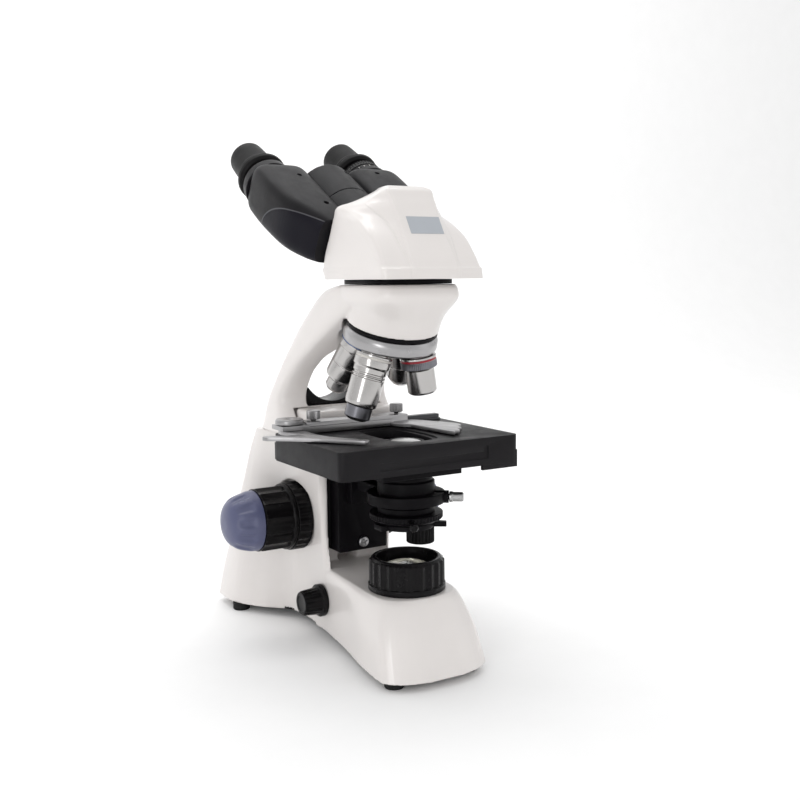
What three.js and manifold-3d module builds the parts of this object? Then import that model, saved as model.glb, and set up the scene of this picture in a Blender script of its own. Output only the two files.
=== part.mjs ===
// Binocular compound microscope, in millimetres, +Z up, front of the stand towards -Y.
// The optical axis is x = 0, y = 0 while the pieces are made; the whole group is then moved
// so that the origin is the middle of the footprint on the table.
import * as THREE from 'three';
import { mergeVertices } from 'three/addons/utils/BufferGeometryUtils.js';
import Module from 'manifold-3d';

const wasm = await Module();
wasm.setup();

// ---------------------------------------------------------------- driving dimensions
const GAP = 0.3;                // clearance between two touching pieces
const ORIGIN_Y = 78.39;           // optical axis to the middle of the footprint
const FOOT_HEIGHT = 6;
const BASE_TOP = 53.4;          // flat of the base under the lamp collar
const COLUMN_FRONT = 68;        // front face of the column
const SEAM_Z = 150;             // joint between the base casting and the arm casting
const LEDGE_Z = 167;            // top of the column in front of the arm
const ARM_TOP = 256;
const FOCUS_Y = 104;            // focus shaft axis
const FOCUS_Z = 87;
const FOCUS_PAD_X = 29.6;       // machined pad the focus collars run against
const STAGE_TOP = 156.1;
const STAGE_HALF_WIDTH = 67;
const STAGE_FRONT = -35.3;
const STAGE_BACK = 63;
const STAGE_SKIRT = 18.3;
const DRIVE_X = 38;             // axis of the two stage drive knobs
const DRIVE_Y = 43;
const CLAMP_TURN = THREE.MathUtils.degToRad(52);  // condenser clamp, round from the front
const CLAMP_Z = 115.9;
const NOSE_TILT = THREE.MathUtils.degToRad(18.5);
const NOSE_Y = 15.67;           // centre of the nosepiece seat
const NOSE_Z = 228.6;
const SEAT_RADIUS = 21.4;       // objective seats around the nosepiece axis
const SEAT_Z = -14.56;
const TURRET_RADIUS = 31.8;
const REST_TURN = THREE.MathUtils.degToRad(35);   // nosepiece stands between two clicks
const HEAD_Z = 258.3;           // where the eyepiece hinge axis meets the optical axis
const EYE_TILT = THREE.MathUtils.degToRad(-60);   // hinge axis leans 60 degrees off vertical
const EYE_X = 40.5;             // half the eyepiece spacing
const HINGE_RADIUS = 22;
const WING_INNER = 17.4;        // inner side of a swinging half, clear of its twin when both are raised

// ---------------------------------------------------------------- materials
function paint(color, roughness, metalness = 0) {
  return new THREE.MeshStandardMaterial({ color, roughness, metalness });
}
const WHITE_PAINT = paint(0xe8e4e0, 0.42);
const BLACK_PAINT = paint(0x37373a, 0.5);
const STAGE_BLACK = paint(0x2a272a, 0.6);
const BLACK_PLASTIC = paint(0x1b1a1c, 0.32);
const RUBBER = paint(0x1a1a1a, 0.85);
const BLUE_PLASTIC = paint(0x555a82, 0.4);
const CHROME = paint(0xc8c8cc, 0.18, 1);
const STEEL = paint(0xafafb2, 0.35, 1);
const DARK_STEEL = paint(0x5a5a5e, 0.4, 0.9);
const ALUMINIUM = paint(0xb9babd, 0.3, 1);
const GLASS = paint(0xdfe8ea, 0.06);

// ---------------------------------------------------------------- solid helpers
function toManifold(geometry) {
  const plain = geometry.clone();
  plain.deleteAttribute('normal');
  plain.deleteAttribute('uv');
  const merged = mergeVertices(plain, 1e-4);
  const mesh = new wasm.Mesh({
    numProp: 3,
    vertProperties: new Float32Array(merged.attributes.position.array),
    triVerts: new Uint32Array(merged.index.array),
  });
  return new wasm.Manifold(mesh);
}

function toGeometry(solid) {
  const mesh = solid.getMesh();
  const geometry = new THREE.BufferGeometry();
  geometry.setAttribute('position', new THREE.BufferAttribute(new Float32Array(mesh.vertProperties), 3));
  geometry.setIndex(new THREE.BufferAttribute(new Uint32Array(mesh.triVerts), 1));
  return geometry;
}

function join(...pieces) {
  return toGeometry(pieces.map(toManifold).reduce((sum, piece) => sum.add(piece)));
}

function cut(body, ...tools) {
  return toGeometry(tools.map(toManifold).reduce((sum, tool) => sum.subtract(tool), toManifold(body)));
}

function box(x0, x1, y0, y1, z0, z1) {
  const geometry = new THREE.BoxGeometry(x1 - x0, y1 - y0, z1 - z0);
  return geometry.translate((x0 + x1) / 2, (y0 + y1) / 2, (z0 + z1) / 2);
}

// cylinder or cone standing on +Z between two heights
function rod(radius, z0, z1, segments = 16, topRadius = radius) {
  const geometry = new THREE.CylinderGeometry(topRadius, radius, z1 - z0, segments);
  return geometry.rotateX(Math.PI / 2).translate(0, 0, (z0 + z1) / 2);
}

// turned piece about +Z from a closed or axis-to-axis profile of [radius, z], bottom first
function turned(profile, segments = 20) {
  const points = profile.map(([radius, z]) => new THREE.Vector2(radius, z));
  return new THREE.LatheGeometry(points, segments).rotateX(Math.PI / 2);
}

// ring with a straight bore
function tube(inner, outer, z0, z1, segments = 20) {
  return turned([[inner, z0], [outer, z0], [outer, z1], [inner, z1], [inner, z0]], segments);
}

// flat outline in XY extruded between two heights
function slab(points, z0, z1) {
  const shape = new THREE.Shape(points.map(([x, y]) => new THREE.Vector2(x, y)));
  const geometry = new THREE.ExtrudeGeometry(shape, { depth: z1 - z0, bevelEnabled: false });
  return geometry.translate(0, 0, z0);
}

// mirror a half outline, listed from the front centre to the rear centre, about x = 0
function mirrored(half) {
  const left = half.slice(1, -1).reverse().map(([x, y, z]) => [-x, y, z]);
  return [...half, ...left];
}

// smooth half outline resampled to a fixed number of points, then mirrored
function smoothOutline(half, count) {
  const curve = new THREE.SplineCurve(half.map(([x, y]) => new THREE.Vector2(x, y)));
  return mirrored(curve.getSpacedPoints(count).map((point) => [point.x, point.y]));
}

// rounded rectangle or ellipse as a ring of points; a higher power makes squarer corners
function roundRing(cx, cy, halfX, halfY, power, count) {
  const bend = (value) => Math.sign(value) * Math.abs(value) ** (2 / power);
  return Array.from({ length: count }, (_, index) => {
    const angle = (index / count) * 2 * Math.PI;
    return [cx + halfX * bend(Math.cos(angle)), cy + halfY * bend(Math.sin(angle))];
  });
}

// skin through rings of points, bottom ring first; every ring has the same number of points
function loft(rings) {
  const steps = rings.length - 1;
  const key = (x, y) => `${x.toFixed(3)},${y.toFixed(3)}`;
  const lookup = new Map(rings[0].map(([x, y], index) => [key(x, y), index]));
  const shape = new THREE.Shape(rings[0].map(([x, y]) => new THREE.Vector2(x, y)));
  const geometry = new THREE.ExtrudeGeometry(shape, { depth: steps, steps, bevelEnabled: false });
  const position = geometry.attributes.position;
  for (let index = 0; index < position.count; index += 1) {
    const level = Math.round(position.getZ(index));
    const slot = lookup.get(key(position.getX(index), position.getY(index)));
    position.setXYZ(index, ...rings[level][slot]);
  }
  return geometry;
}

function atHeight(ring, z) {
  return ring.map(([x, y]) => [x, y, z]);
}

// straight ribbed cylinder: the outline alternates between rib crest and groove
function ribbed(radius, depth, count, z0, z1) {
  const outline = Array.from({ length: 2 * count }, (_, index) => {
    const angle = (index / count) * Math.PI;
    const reach = index % 2 ? radius - depth : radius;
    return [reach * Math.cos(angle), reach * Math.sin(angle)];
  });
  return slab(outline, z0, z1);
}

function alongX(geometry, y, z) {
  return geometry.rotateY(Math.PI / 2).translate(0, y, z);
}

// ---------------------------------------------------------------- base and arm castings
const BASE_PLATE_OUTLINE = mirrored([[0, -40], [24, -40], [33, -30], [30, 0], [20, 80], [18, 118],
  [36, 150],
  [49, 178], [49, 196], [0, 196]]);

function columnRing(z, half) {
  return atHeight(smoothOutline(half, 11), z);
}

function baseCasting() {
  const column = loft([
    columnRing(FOOT_HEIGHT, [[0, 60], [20, 61], [23, 70], [22.5, 112], [26, 132], [42, 149], [55, 172],
      [56.5, 197], [50, 206], [0, 206.5]]),
    columnRing(42, [[0, 62], [22, 63], [25.5, 70], [25.5, 106], [28, 127], [41, 146], [53, 162],
      [55, 181], [49, 190], [0, 191]]),
    columnRing(FOCUS_Z, [[0, COLUMN_FRONT], [25, 68], [28.5, 71], [29.5, 96], [31, 125], [40, 138],
      [50, 149],
      [53, 160], [48, 168], [0, 170]]),
    columnRing(128, [[0, COLUMN_FRONT], [28, 68], [31.5, 71], [35, 86], [38.5, 102], [44, 118], [49, 130],
      [50.5, 141], [46, 148], [0, 150]]),
    columnRing(SEAM_Z, [[0, COLUMN_FRONT], [30, 68], [33.5, 71], [37, 83], [41, 96], [45, 109], [48, 120],
      [49, 129], [44, 136], [0, 137]]),
  ]);
  const front = [
    [FOOT_HEIGHT, [[0, -50], [14, -49.5], [29, -45], [39, -36.5], [40, -27], [37, 0], [30.6, 33],
      [25, 75], [23, 92],
      [0, 93]]],
    [28, [[0, -42], [13, -41.2], [26, -37], [35.8, -29], [37, -19], [35.3, 3], [30, 33], [25, 75],
      [23, 92], [0, 93]]],
    [42, [[0, -35.5], [12, -34.5], [23, -31], [31.5, -24], [33.6, -14], [33, 5], [29.5, 33], [25, 75],
      [23, 92],
      [0, 93]]],
    [50, [[0, -31], [11, -30], [21, -27], [28.5, -20], [31, -11], [31, 5], [28.5, 33], [25, 75],
      [23, 92], [0, 93]]],
    [BASE_TOP, [[0, -28], [10, -27.2], [19, -24], [26, -17.5], [28.5, -9], [28.5, 5], [26.5, 33],
      [24, 72], [22, 92],
      [0, 93]]],
  ];
  const lampHousing = loft(front.map(([z, half]) => columnRing(z, half)));
  const ledge = loft([
    atHeight(roundRing(0, 84, 34, 16, 6, 16), SEAM_Z - 12),
    atHeight(roundRing(0, 84, 34.5, 16, 6, 16), LEDGE_Z - 2),
    atHeight(roundRing(0, 84, 33, 14.8, 6, 16), LEDGE_Z),
  ]);
  const recess = box(-24, 24, 60, 84, 53.6, 160);
  const rackSlot = box(-8, 8, 83, 98, 53.6, 160);
  const shaftBore = alongX(rod(12, -60, 60, 16), FOCUS_Y, FOCUS_Z);
  const reliefs = [[-75, -FOCUS_PAD_X], [FOCUS_PAD_X, 75]].map(([x0, x1]) => {
    return alongX(rod(26.6, x0, x1, 20), FOCUS_Y, FOCUS_Z);
  });
  const cavity = slab([[-22, -20], [22, -20], [19, 60], [17, 90], [-17, 90], [-19, 60]],
    FOOT_HEIGHT - 1, 43);
  const rearCavity = slab([[-17, 88], [17, 88], [20, 130], [38, 160], [40, 186], [-40, 186],
    [-38, 160], [-20, 130]],
    FOOT_HEIGHT - 1, 40);
  const plateSeat = slab(BASE_PLATE_OUTLINE.map(([x, y]) => [x * 1.012, y + Math.sign(y - 78) * GAP]),
    FOOT_HEIGHT - 1, FOOT_HEIGHT + 2.1);
  const lampHole = rod(19.6, 40, 60, 20);
  const dimmerHole = alongX(rod(4.4, -40, 0, 16), 75, 29);
  const inletHole = box(-14.2, 14.2, 180, 215, 12, 34.4);
  const switchHole = box(23.7, 36.3, 170, 215, 16.4, 29.6);
  return cut(join(column, lampHousing, ledge), recess, rackSlot, shaftBore, ...reliefs, cavity,
    rearCavity, plateSeat,
    lampHole, dimmerHole, inletHole, switchHole);
}

function basePlate() {
  return slab(BASE_PLATE_OUTLINE, FOOT_HEIGHT, FOOT_HEIGHT + 1.8);
}

function foot() {
  return turned([[0, 0], [6.1, 0], [6.65, 0.8], [6.65, FOOT_HEIGHT - GAP], [0, FOOT_HEIGHT - GAP]], 14);
}

function armRing(z, front, rear, halfWidth) {
  return atHeight(roundRing(0, (front + rear) / 2, halfWidth, (rear - front) / 2, 4.2, 20), z);
}

function armCasting() {
  const legs = loft([
    armRing(SEAM_Z + GAP, 82, 137, 49),
    armRing(160, 88, 132.5, 47.5),
    armRing(172, 96, 127, 45.5),
    armRing(184, 92, 120.5, 43.2),
    armRing(198, 79, 113.5, 40.5),
    armRing(212, 60, 105.5, 37.8),
    armRing(226, 36, 96, 35.5),
    armRing(238, 14, 84, 33.8),
    armRing(247, 0, 73, 32.6),
    armRing(252.5, -6, 61, 31.6),
    armRing(ARM_TOP, -8, 42, 29.5),
  ]);
  const tan = Math.tan(NOSE_TILT);
  const seatRing = roundRing(0, NOSE_Y - 0.5, TURRET_RADIUS - 0.6, (TURRET_RADIUS - 0.6) * 0.95, 2, 20);
  const lip = seatRing.map(([x, y]) => [x, y, NOSE_Z + 1.6 + tan * (y - NOSE_Y)]);
  const neckRing = roundRing(0, 11.5, 30, 31.6, 2.5, 20);
  const head = loft([
    lip,
    neckRing.map(([x, y]) => [x, y, 240 + 0.22 * (y - 12)]),
    atHeight(roundRing(0, 7, 32.8, 35, 3.6, 20), 246),
    atHeight(roundRing(0, 7, 33, 35.3, 3.6, 20), 252.5),
    atHeight(roundRing(0, 7, 31.4, 33.6, 3.6, 20), ARM_TOP),
  ]);
  const windowHalf = [[25, LEDGE_Z + GAP], [25, 196], [22.5, 206], [16, 212.5], [8, 214.6]];
  const windowShape = [...windowHalf, ...windowHalf.map(([x, z]) => [-x, z]).reverse()];
  const opening = slab(windowShape, -160, -20).rotateX(Math.PI / 2);
  const sweep = turned([[0, -62], [49, -62], [37, -20], [35, -12], [32.8, -9], [32.8, 1.3], [0, 1.3]],
    20);
  sweep.rotateX(NOSE_TILT).translate(0, NOSE_Y, NOSE_Z);
  const columnTop = box(-36, 36, 60, 101, SEAM_Z, LEDGE_Z + GAP);
  const lightBore = rod(9, 215, 262, 16);
  return cut(join(legs, head), opening, sweep, columnTop, lightBore);
}

function windowGrip() {
  const block = box(-24.7, 24.7, 101.4, 128, LEDGE_Z + 2 * GAP, LEDGE_Z + 14);
  const hand = rod(25, -140, -90, 28).rotateX(Math.PI / 2).translate(0, 0, LEDGE_Z + 28);
  return cut(block, hand);
}

// ---------------------------------------------------------------- electrics and lamp
function powerInlet() {
  const body = box(-13.9, 13.9, 176, 194, 12.3, 34.1);
  const mouth = box(-10.5, 10.5, 184, 200, 16, 30);
  const pins = [-5.5, 0, 5.5].map((x) => box(x - 1, x + 1, 182, 188.5, x === 0 ? 25 : 20,
    x === 0 ? 28 : 23));
  return join(cut(body, mouth), ...pins);
}

function powerRocker() {
  const halfHeight = 5.4;
  const profile = [[-4.6, -halfHeight], [2.4, -halfHeight], [1, 0], [3.6, halfHeight],
    [-4.6, halfHeight]];
  return slab(profile, -5.7, 5.7).rotateX(Math.PI / 2).rotateZ(Math.PI / 2);
}

function dimmerKnob() {
  const flange = turned([[0, 0], [11.7, 0], [11.7, 3.2], [9, 4], [0, 4]], 24);
  const grip = ribbed(10, 0.9, 14, 3.6, 16.6);
  return join(flange, grip, rod(4, -8, 0.5, 12));
}

function lampCollar() {
  const skirt = rod(26.1, 0, 4, 28);
  const grip = ribbed(25.4, 1.1, 22, 3.5, 20.4);
  const crown = rod(23.8, 20, 21.8, 24, 23);
  return cut(join(skirt, grip, crown), rod(20.4, -5, 30, 20));
}

function lampReflector() {
  return turned([[6.2, -3], [7.4, -3], [17.8, 9], [19.9, 9], [19.9, 10.2], [17, 10.2], [6.2, -1.6],
    [6.2, -3]], 18);
}

function fieldLens() {
  return turned([[0, 7.8], [13.6, 10.7], [19.8, 10.7], [19.8, 13], [16, 15], [9, 17.2], [0, 18]], 20);
}

function lampBulb() {
  return turned([[0, -16], [7.5, -16], [7.5, -7], [4.6, -6], [4.6, 0], [3.4, 2.6], [0, 3.6]], 14);
}

// ---------------------------------------------------------------- focus drive
function coarseShaft() {
  const pinionTop = 8.4;
  const shaft = tube(4.3, 7, -62, 62, 16);
  const teeth = Array.from({ length: 10 }, (_, index) => {
    const tooth = box(6, pinionTop, -0.9, 0.9, -7, 7);
    return tooth.rotateZ((index / 10) * 2 * Math.PI);
  });
  return join(shaft, ...teeth);
}

function coarseKnob() {
  const rim = tube(7.3, 24.2, 40.9, 43.6, 24);
  const grip = ribbed(23.2, 1.3, 14, 43, 65);
  return cut(join(rim, grip), rod(7.3, 35, 70, 14));
}

function focusCollar() {
  return cut(ribbed(25, 0.9, 24, FOCUS_PAD_X + GAP, 40.6), rod(7.5, 0, 50, 16));
}

function fineShaft() {
  return rod(4, -74, 74, 14);
}

function fineKnob() {
  const body = turned([[0, 65.3], [21.8, 65.3], [21.2, 72], [18.4, 80.5], [13.4, 85.8], [6.6, 88.2],
    [0, 88.6]], 22);
  return cut(body, rod(4.3, 60, 74.3, 14));
}

function stageCarrier() {
  const block = box(-19.5, 19.5, 60, 83.4, 66, 137);
  const rack = box(-5, 5, 83, 95.2, 68, 134);
  const teethCount = 10;
  const teeth = Array.from({ length: teethCount }, (_, index) => {
    const z = 70 + index * 6.4;
    return box(-6, 6, 94.2, 97, z, z + 3.2);
  });
  const tongues = [-1, 1].map((side) => box(side * 21.4 - 2.2, side * 21.4 + 2.2, 72, 80, 68, 135));
  return cut(join(block, rack, ...tongues), rod(2.4, 55, 66, 16).rotateX(-Math.PI / 2).translate(0, 0,
    72), ...teeth);
}

function stopScrew() {
  const head = turned([[0, 0], [2.1, 0], [2.1, 5.4], [3.9, 5.4], [3.9, 6.6], [2.6, 7.6], [0, 7.6]], 12);
  const slotA = box(-2.4, 2.4, -0.5, 0.5, 6.8, 9);
  const slotB = box(-0.5, 0.5, -2.4, 2.4, 6.8, 9);
  return cut(head, slotA, slotB).rotateX(Math.PI / 2).translate(0, 65.3, 72);
}

// ---------------------------------------------------------------- stage
function stageBracket() {
  const plate = box(-30, 30, -22, 59.7, 131.5, 136.9);
  const hook = box(-19.5, 19.5, 40, 59.7, 122, 132);
  const ear = box(28, 47, 34, 52, 131.5, 136.9);
  return cut(join(plate, hook, ear), rod(20.6, 120, 140, 24), rod(3.3, 120, 140, 12).translate(DRIVE_X,
    DRIVE_Y, 0));
}

function stageBase() {
  const plate = box(-60, 60, -27, 27, 138.1, 147.5);
  const pillars = [-1, 1].map((side) => box(side * 24 - 5, side * 24 + 5, -18, 22, 137.2, 140));
  return cut(join(plate, ...pillars), rod(18.4, 130, 160, 24));
}

function stageTop() {
  const radius = 5;
  const outline = [[-STAGE_HALF_WIDTH, STAGE_FRONT + radius],
    [-STAGE_HALF_WIDTH + 1.5, STAGE_FRONT + 1.5],
    [-STAGE_HALF_WIDTH + radius, STAGE_FRONT], [STAGE_HALF_WIDTH - radius, STAGE_FRONT],
    [STAGE_HALF_WIDTH - 1.5, STAGE_FRONT + 1.5], [STAGE_HALF_WIDTH, STAGE_FRONT + radius],
    [STAGE_HALF_WIDTH, STAGE_BACK - radius], [STAGE_HALF_WIDTH - 1.5, STAGE_BACK - 1.5],
    [STAGE_HALF_WIDTH - radius, STAGE_BACK], [-STAGE_HALF_WIDTH + radius, STAGE_BACK],
    [-STAGE_HALF_WIDTH + 1.5, STAGE_BACK - 1.5], [-STAGE_HALF_WIDTH, STAGE_BACK - radius]];
  const shell = slab(outline, STAGE_TOP - STAGE_SKIRT, STAGE_TOP);
  const deepEnd = box(38, STAGE_HALF_WIDTH - 0.6, STAGE_FRONT + 0.4, STAGE_FRONT + 3, STAGE_TOP - 21.6,
    STAGE_TOP - 10);
  const hollow = box(-63.5, 63.5, STAGE_FRONT + 3.2, STAGE_BACK + 5, STAGE_TOP - 25, STAGE_TOP - 7.6);
  const rearWalls = [[-66.5, -30], [30, 66.5]].map(([x0, x1]) => {
    return box(x0, x1, STAGE_BACK - 3, STAGE_BACK - 0.3, STAGE_TOP - STAGE_SKIRT, STAGE_TOP - 5);
  });
  const aperture = slab(roundRing(0, 10, 15, 29, 3.5, 20), STAGE_TOP - 12, STAGE_TOP + 2);
  const lip = slab(roundRing(0, 10, 18, 32, 3.5, 20), STAGE_TOP - 1.2, STAGE_TOP + 2);
  const panel = box(-40, 42, STAGE_FRONT - 1, STAGE_FRONT + 0.7, STAGE_TOP - 14, STAGE_TOP - 9);
  return cut(join(cut(shell, hollow), ...rearWalls, deepEnd), aperture, lip, panel);
}

function slideRail() {
  const plate = box(-30, 60, 49, 59, STAGE_TOP + GAP, STAGE_TOP + 2.4);
  const rail = box(-30, 60, 51, 57, STAGE_TOP + 2.2, STAGE_TOP + 5);
  return join(plate, rail);
}

function slideCarriage() {
  const z0 = STAGE_TOP + 0.9;
  const saddle = cut(box(-50, 30, 46, 61, z0, STAGE_TOP + 7.6), box(-70, 70, 48.7, 59.3, 0,
    STAGE_TOP + 5.3));
  const bar = box(-53.2, 16, 42.6, 46.4, z0, STAGE_TOP + 5.2);
  const ear = box(-69, -49, 42.6, 60, STAGE_TOP + 3.6, STAGE_TOP + 6.6);
  const arm = slab([[12.5, 46.3], [14, 40], [21, 27], [23, 8], [24.5, -6], [26.5, -19.5], [29, -15],
    [33, -16], [36, -8],
    [41, -6], [43, 2], [49, 6], [50, 14], [44, 28], [38, 40], [34, 46.3]], z0, STAGE_TOP + 3.2);
  const pivotHole = rod(2.6, 0, 200, 16).translate(-60, 51.5, 0);
  const screwHoles = [[-41, 53.5], [25, 53.5]].map(([x, y]) => rod(1.8, 160, 200, 12).translate(x, y, 0));
  return cut(join(saddle, bar, ear, arm), pivotHole, ...screwHoles);
}

function slideFinger() {
  const z0 = STAGE_TOP + 0.9;
  const outline = [[-53.6, 57], [-60, 58.5], [-67, 55], [-68.5, 47], [-66, 38], [-64, 28], [-70, 27.5],
    [-85, 36],
    [-88.4, 33], [-87.4, 28.5], [-74, 18], [-60, 4], [-46, -14], [-41, -20], [-37.5, -19],
      [-37.6, -15], [-44, -6],
    [-52, 8], [-54.5, 22], [-53.6, 40]];
  return cut(slab(outline, z0, STAGE_TOP + 3.2), rod(2.6, 0, 200, 16).translate(-60, 51.5, 0));
}

function springCap() {
  const cap = turned([[0, 0.4], [2.3, 0.4], [2.3, 7.2], [9.6, 7.2], [9.6, 9.6], [8.9, 10.6],
    [0, 10.6]], 16);
  return cap.translate(-60, 51.5, STAGE_TOP);
}

function thumbScrew() {
  return join(rod(1.5, 0, 4, 10), ribbed(4.7, 0.5, 12, 3.2, 9.2));
}

function stageKnob(radius, bore, z0, z1) {
  return cut(ribbed(radius, 0.9, 16, z0, z1), rod(bore, z0 - 1, z1 + 1, 16));
}

function stageShaft() {
  return join(rod(3, 71, 137.4, 12), rod(5.2, 104.9, 131.2, 16));
}

// ---------------------------------------------------------------- condenser
function condenserHolder() {
  const ring = tube(19.5, 26, 112.4, 119.4, 24);
  const arm = box(-9, 9, 22, 59.7, 112.4, 119.4);
  const mountingFlange = box(-13, 13, 52, 59.7, 102, 121.5);
  const boss = rod(4.2, 19, 28.5, 12).rotateX(Math.PI / 2).rotateZ(CLAMP_TURN).translate(0, 0, CLAMP_Z);
  const hole = rod(2.3, 15, 40, 12).rotateX(Math.PI / 2).rotateZ(CLAMP_TURN).translate(0, 0, CLAMP_Z);
  const bore = rod(19.5, 100, 130, 24);
  return cut(join(ring, arm, mountingFlange, boss), bore, hole);
}

function condenserBody() {
  return turned([[17, 106.2], [19.2, 106.2], [19.2, 127], [17.7, 128], [17.7, 141], [12.4, 153.4],
    [10.6, 153.4],
    [9.4, 136], [17, 127], [17, 106.2]], 20);
}

function condenserLens() {
  return turned([[0, 136.3], [9.1, 136.3], [10.2, 153.2], [0, 154.6]], 14);
}

function irisRing() {
  const ring = turned([[12.6, 99.4], [20.6, 99.4], [24.4, 102], [24.6, 105.9], [12.6, 105.9],
    [12.6, 99.4]], 22);
  const lever = rod(1.8, 22, 36, 8).rotateX(Math.PI / 2).rotateZ(-0.42).translate(0, 0, 103.4);
  const tip = rod(2.8, 34, 41, 10).rotateX(Math.PI / 2).rotateZ(-0.42).translate(0, 0, 103.4);
  return join(ring, lever, tip);
}

function filterHolder() {
  const ring = tube(13, 18.4, 95.6, 99, 20);
  const ear = slab([[-22.4, -6], [-17, -6], [-15, -3], [-15, 5], [-22.4, 5]], 95.6, 99);
  const tab = slab([[11.5, -10.5], [21, -17], [23, -14], [15.5, -6]], 95.6, 99);
  return cut(join(ring, ear, tab), rod(1.8, 90, 101, 12).translate(-19.6, 0, 0));
}

function condenserClamp() {
  const screw = join(rod(2, 20, 30, 12), turned([[0, 29], [3.6, 29], [3.6, 31], [3.2, 31.6],
    [3.2, 37.4], [2.6, 38.4], [0, 38.4]], 14));
  return screw.rotateX(Math.PI / 2).rotateZ(CLAMP_TURN).translate(0, 0, CLAMP_Z);
}

// ---------------------------------------------------------------- nosepiece and objectives
function nosepieceMount() {
  return turned([[11, -1.2], [30.8, -1.2], [30.8, 1.1], [11, 1.1], [11, -1.2]], 22);
}

function turret() {
  const cone = Math.tan(NOSE_TILT);
  const rim = SEAT_Z + (TURRET_RADIUS - SEAT_RADIUS) * cone;
  const inner = SEAT_Z - (SEAT_RADIUS - 8) * cone;
  const body = turned([[0, inner], [8, inner], [TURRET_RADIUS - 0.8, rim - 0.2],
    [TURRET_RADIUS, rim + 0.8],
    [TURRET_RADIUS, -4.6], [TURRET_RADIUS - 0.9, -1.5], [0, -1.5]], 22);
  const bores = [0, 1, 2, 3].map((index) => {
    const bore = rod(9.8, -8, 26, 12).rotateX(-NOSE_TILT).translate(0, -SEAT_RADIUS, SEAT_Z);
    return bore.rotateZ(index * Math.PI / 2);
  });
  return cut(body, ...bores);
}

function objective(profile, knurl) {
  return turned([...profile, [12.2, -knurl], [12.2, -0.5], [9.3, -0.5], [9.3, 3.6], [0, 3.6]], 16);
}

const OBJECTIVES = {
  objective_4x: [[[0, -25.4], [5.2, -25.4], [5.2, -26], [8.4, -26], [9.8, -24.6], [9.8, -9.4],
    [11.2, -8.4]], 8],
  objective_10x: [[[0, -35.6], [3.8, -35.6], [3.8, -36.2], [7.4, -36.2], [9.4, -33], [10.4, -31],
    [10.4, -9.4],
    [11.4, -8.4]], 8],
  objective_40x: [[[0, -44], [2.4, -44], [2.4, -44.4], [6, -44.4], [7.6, -42], [7.6, -36], [10.6, -33.4],
    [11, -32], [11, -9.4], [11.6, -8.4]], 8],
  objective_100x: [[[0, -44.6], [1.8, -44.6], [1.8, -45], [5.6, -45], [8.6, -43], [8.8, -35.5],
    [10.4, -34.4],
    [10.8, -32], [11.2, -9.4], [11.8, -8.4]], 8],
};

// ---------------------------------------------------------------- head
function headPlate() {
  const flange = slab(roundRing(0, 8, 30.6, 31.4, 3.6, 24), ARM_TOP + GAP, ARM_TOP + 3.2);
  const spigot = rod(20, ARM_TOP + 3, ARM_TOP + 7, 20);
  return cut(join(flange, spigot), rod(9, 240, 280, 16));
}

function cowlRing(z, half) {
  return atHeight(mirrored(half), z);
}

const COWL_LEVELS = [
  [259.5, [[0, -40], [16, -40], [18, -39.6], [34.6, -38.6], [37, -34], [37, 0], [37, 40],
    [33.6, 45.4], [0, 46]]],
  [266, [[0, -39.5], [16, -39.5], [18, -38.7], [34.6, -37.4], [37, -33], [37, 0], [37, 44],
    [33.6, 49.4], [0, 50]]],
  [267, [[0, -38.6], [16, -38.6], [18, -37.6], [34.2, -36], [36.7, -31], [36.7, 0], [36.6, 43.4],
    [33.2, 48.9], [0, 49.5]]],
  [276, [[0, -33.5], [15.6, -33.5], [19, -31.8], [33.8, -30], [36.6, -23], [36.6, 5], [36.3, 41],
    [33, 46.4], [0, 47]]],
  [287, [[0, -26.5], [15, -26.5], [20.8, -23.2], [33.6, -20], [36.2, -10], [36.4, 10], [36, 35],
    [33, 40.2], [0, 41]]],
  [296, [[0, -21], [15, -21], [22, -13.8], [32.8, -5], [35.8, 5], [36, 14], [35.8, 30],
    [33.6, 35.2], [0, 36]]],
  [301, [[0, -18], [15.2, -18], [24, -6.6], [32.4, 6.8], [35, 15], [35.6, 20], [35.6, 27.4],
    [33.6, 32.4], [0, 33]]],
  [304.5, [[0, -15.8], [15.4, -15.8], [25.4, -1], [32, 14], [34, 18.6], [35, 22], [35.2, 26.6],
    [33.6, 30.6], [0, 31.2]]],
  [307, [[0, -14.3], [15.5, -14.3], [25.6, 4], [30, 16.2], [31.6, 19.6], [32.6, 22], [32.8, 25.4],
    [31.4, 29], [0, 29.8]]],
  [309, [[0, -13], [15.6, -13], [23.8, 5.6], [25.6, 15.6], [26.2, 18], [26.6, 20], [26.4, 23.6],
    [25, 27.2], [0, 28.4]]],
  [311.5, [[0, -11.4], [15.8, -11.4], [20.3, 3.5], [21, 12.5], [21.1, 15], [21, 17], [20.4, 21.4],
    [18.6, 25.6], [0, 26.6]]],
  [316, [[0, -8.5], [16, -8.5], [16.4, -2], [14.8, 6.4], [14, 10], [13.2, 13], [11.6, 19],
    [9.6, 23.2], [0, 24.2]]],
  [318.5, [[0, -4], [12.6, -4], [13.2, 0], [12.2, 4.4], [11.2, 8], [10.2, 11], [8.6, 16.6],
    [6.6, 20.2], [0, 21.2]]],
];

function cowl() {
  const outer = loft(COWL_LEVELS.map(([z, half]) => cowlRing(z, half)));
  const inner = loft([
    atHeight(roundRing(0, 3, 33.4, 37, 5, 16), 259),
    atHeight(roundRing(0, 5, 33.2, 36.5, 5, 16), 266),
    atHeight(roundRing(0, 7.5, 30, 28, 4, 16), 284),
    atHeight(roundRing(0, 8.5, 23, 16, 3.5, 16), 303),
    atHeight(roundRing(0, 8.5, 14, 9, 3, 16), 312),
  ]);
  const mouth = rod(20.6, 0, 70, 24).rotateX(EYE_TILT).translate(0, 0, HEAD_Z);
  const floorCut = box(-60, 60, -60, 70, 200, 259.5);
  return cut(outer, inner, cut(mouth, floorCut));
}

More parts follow.
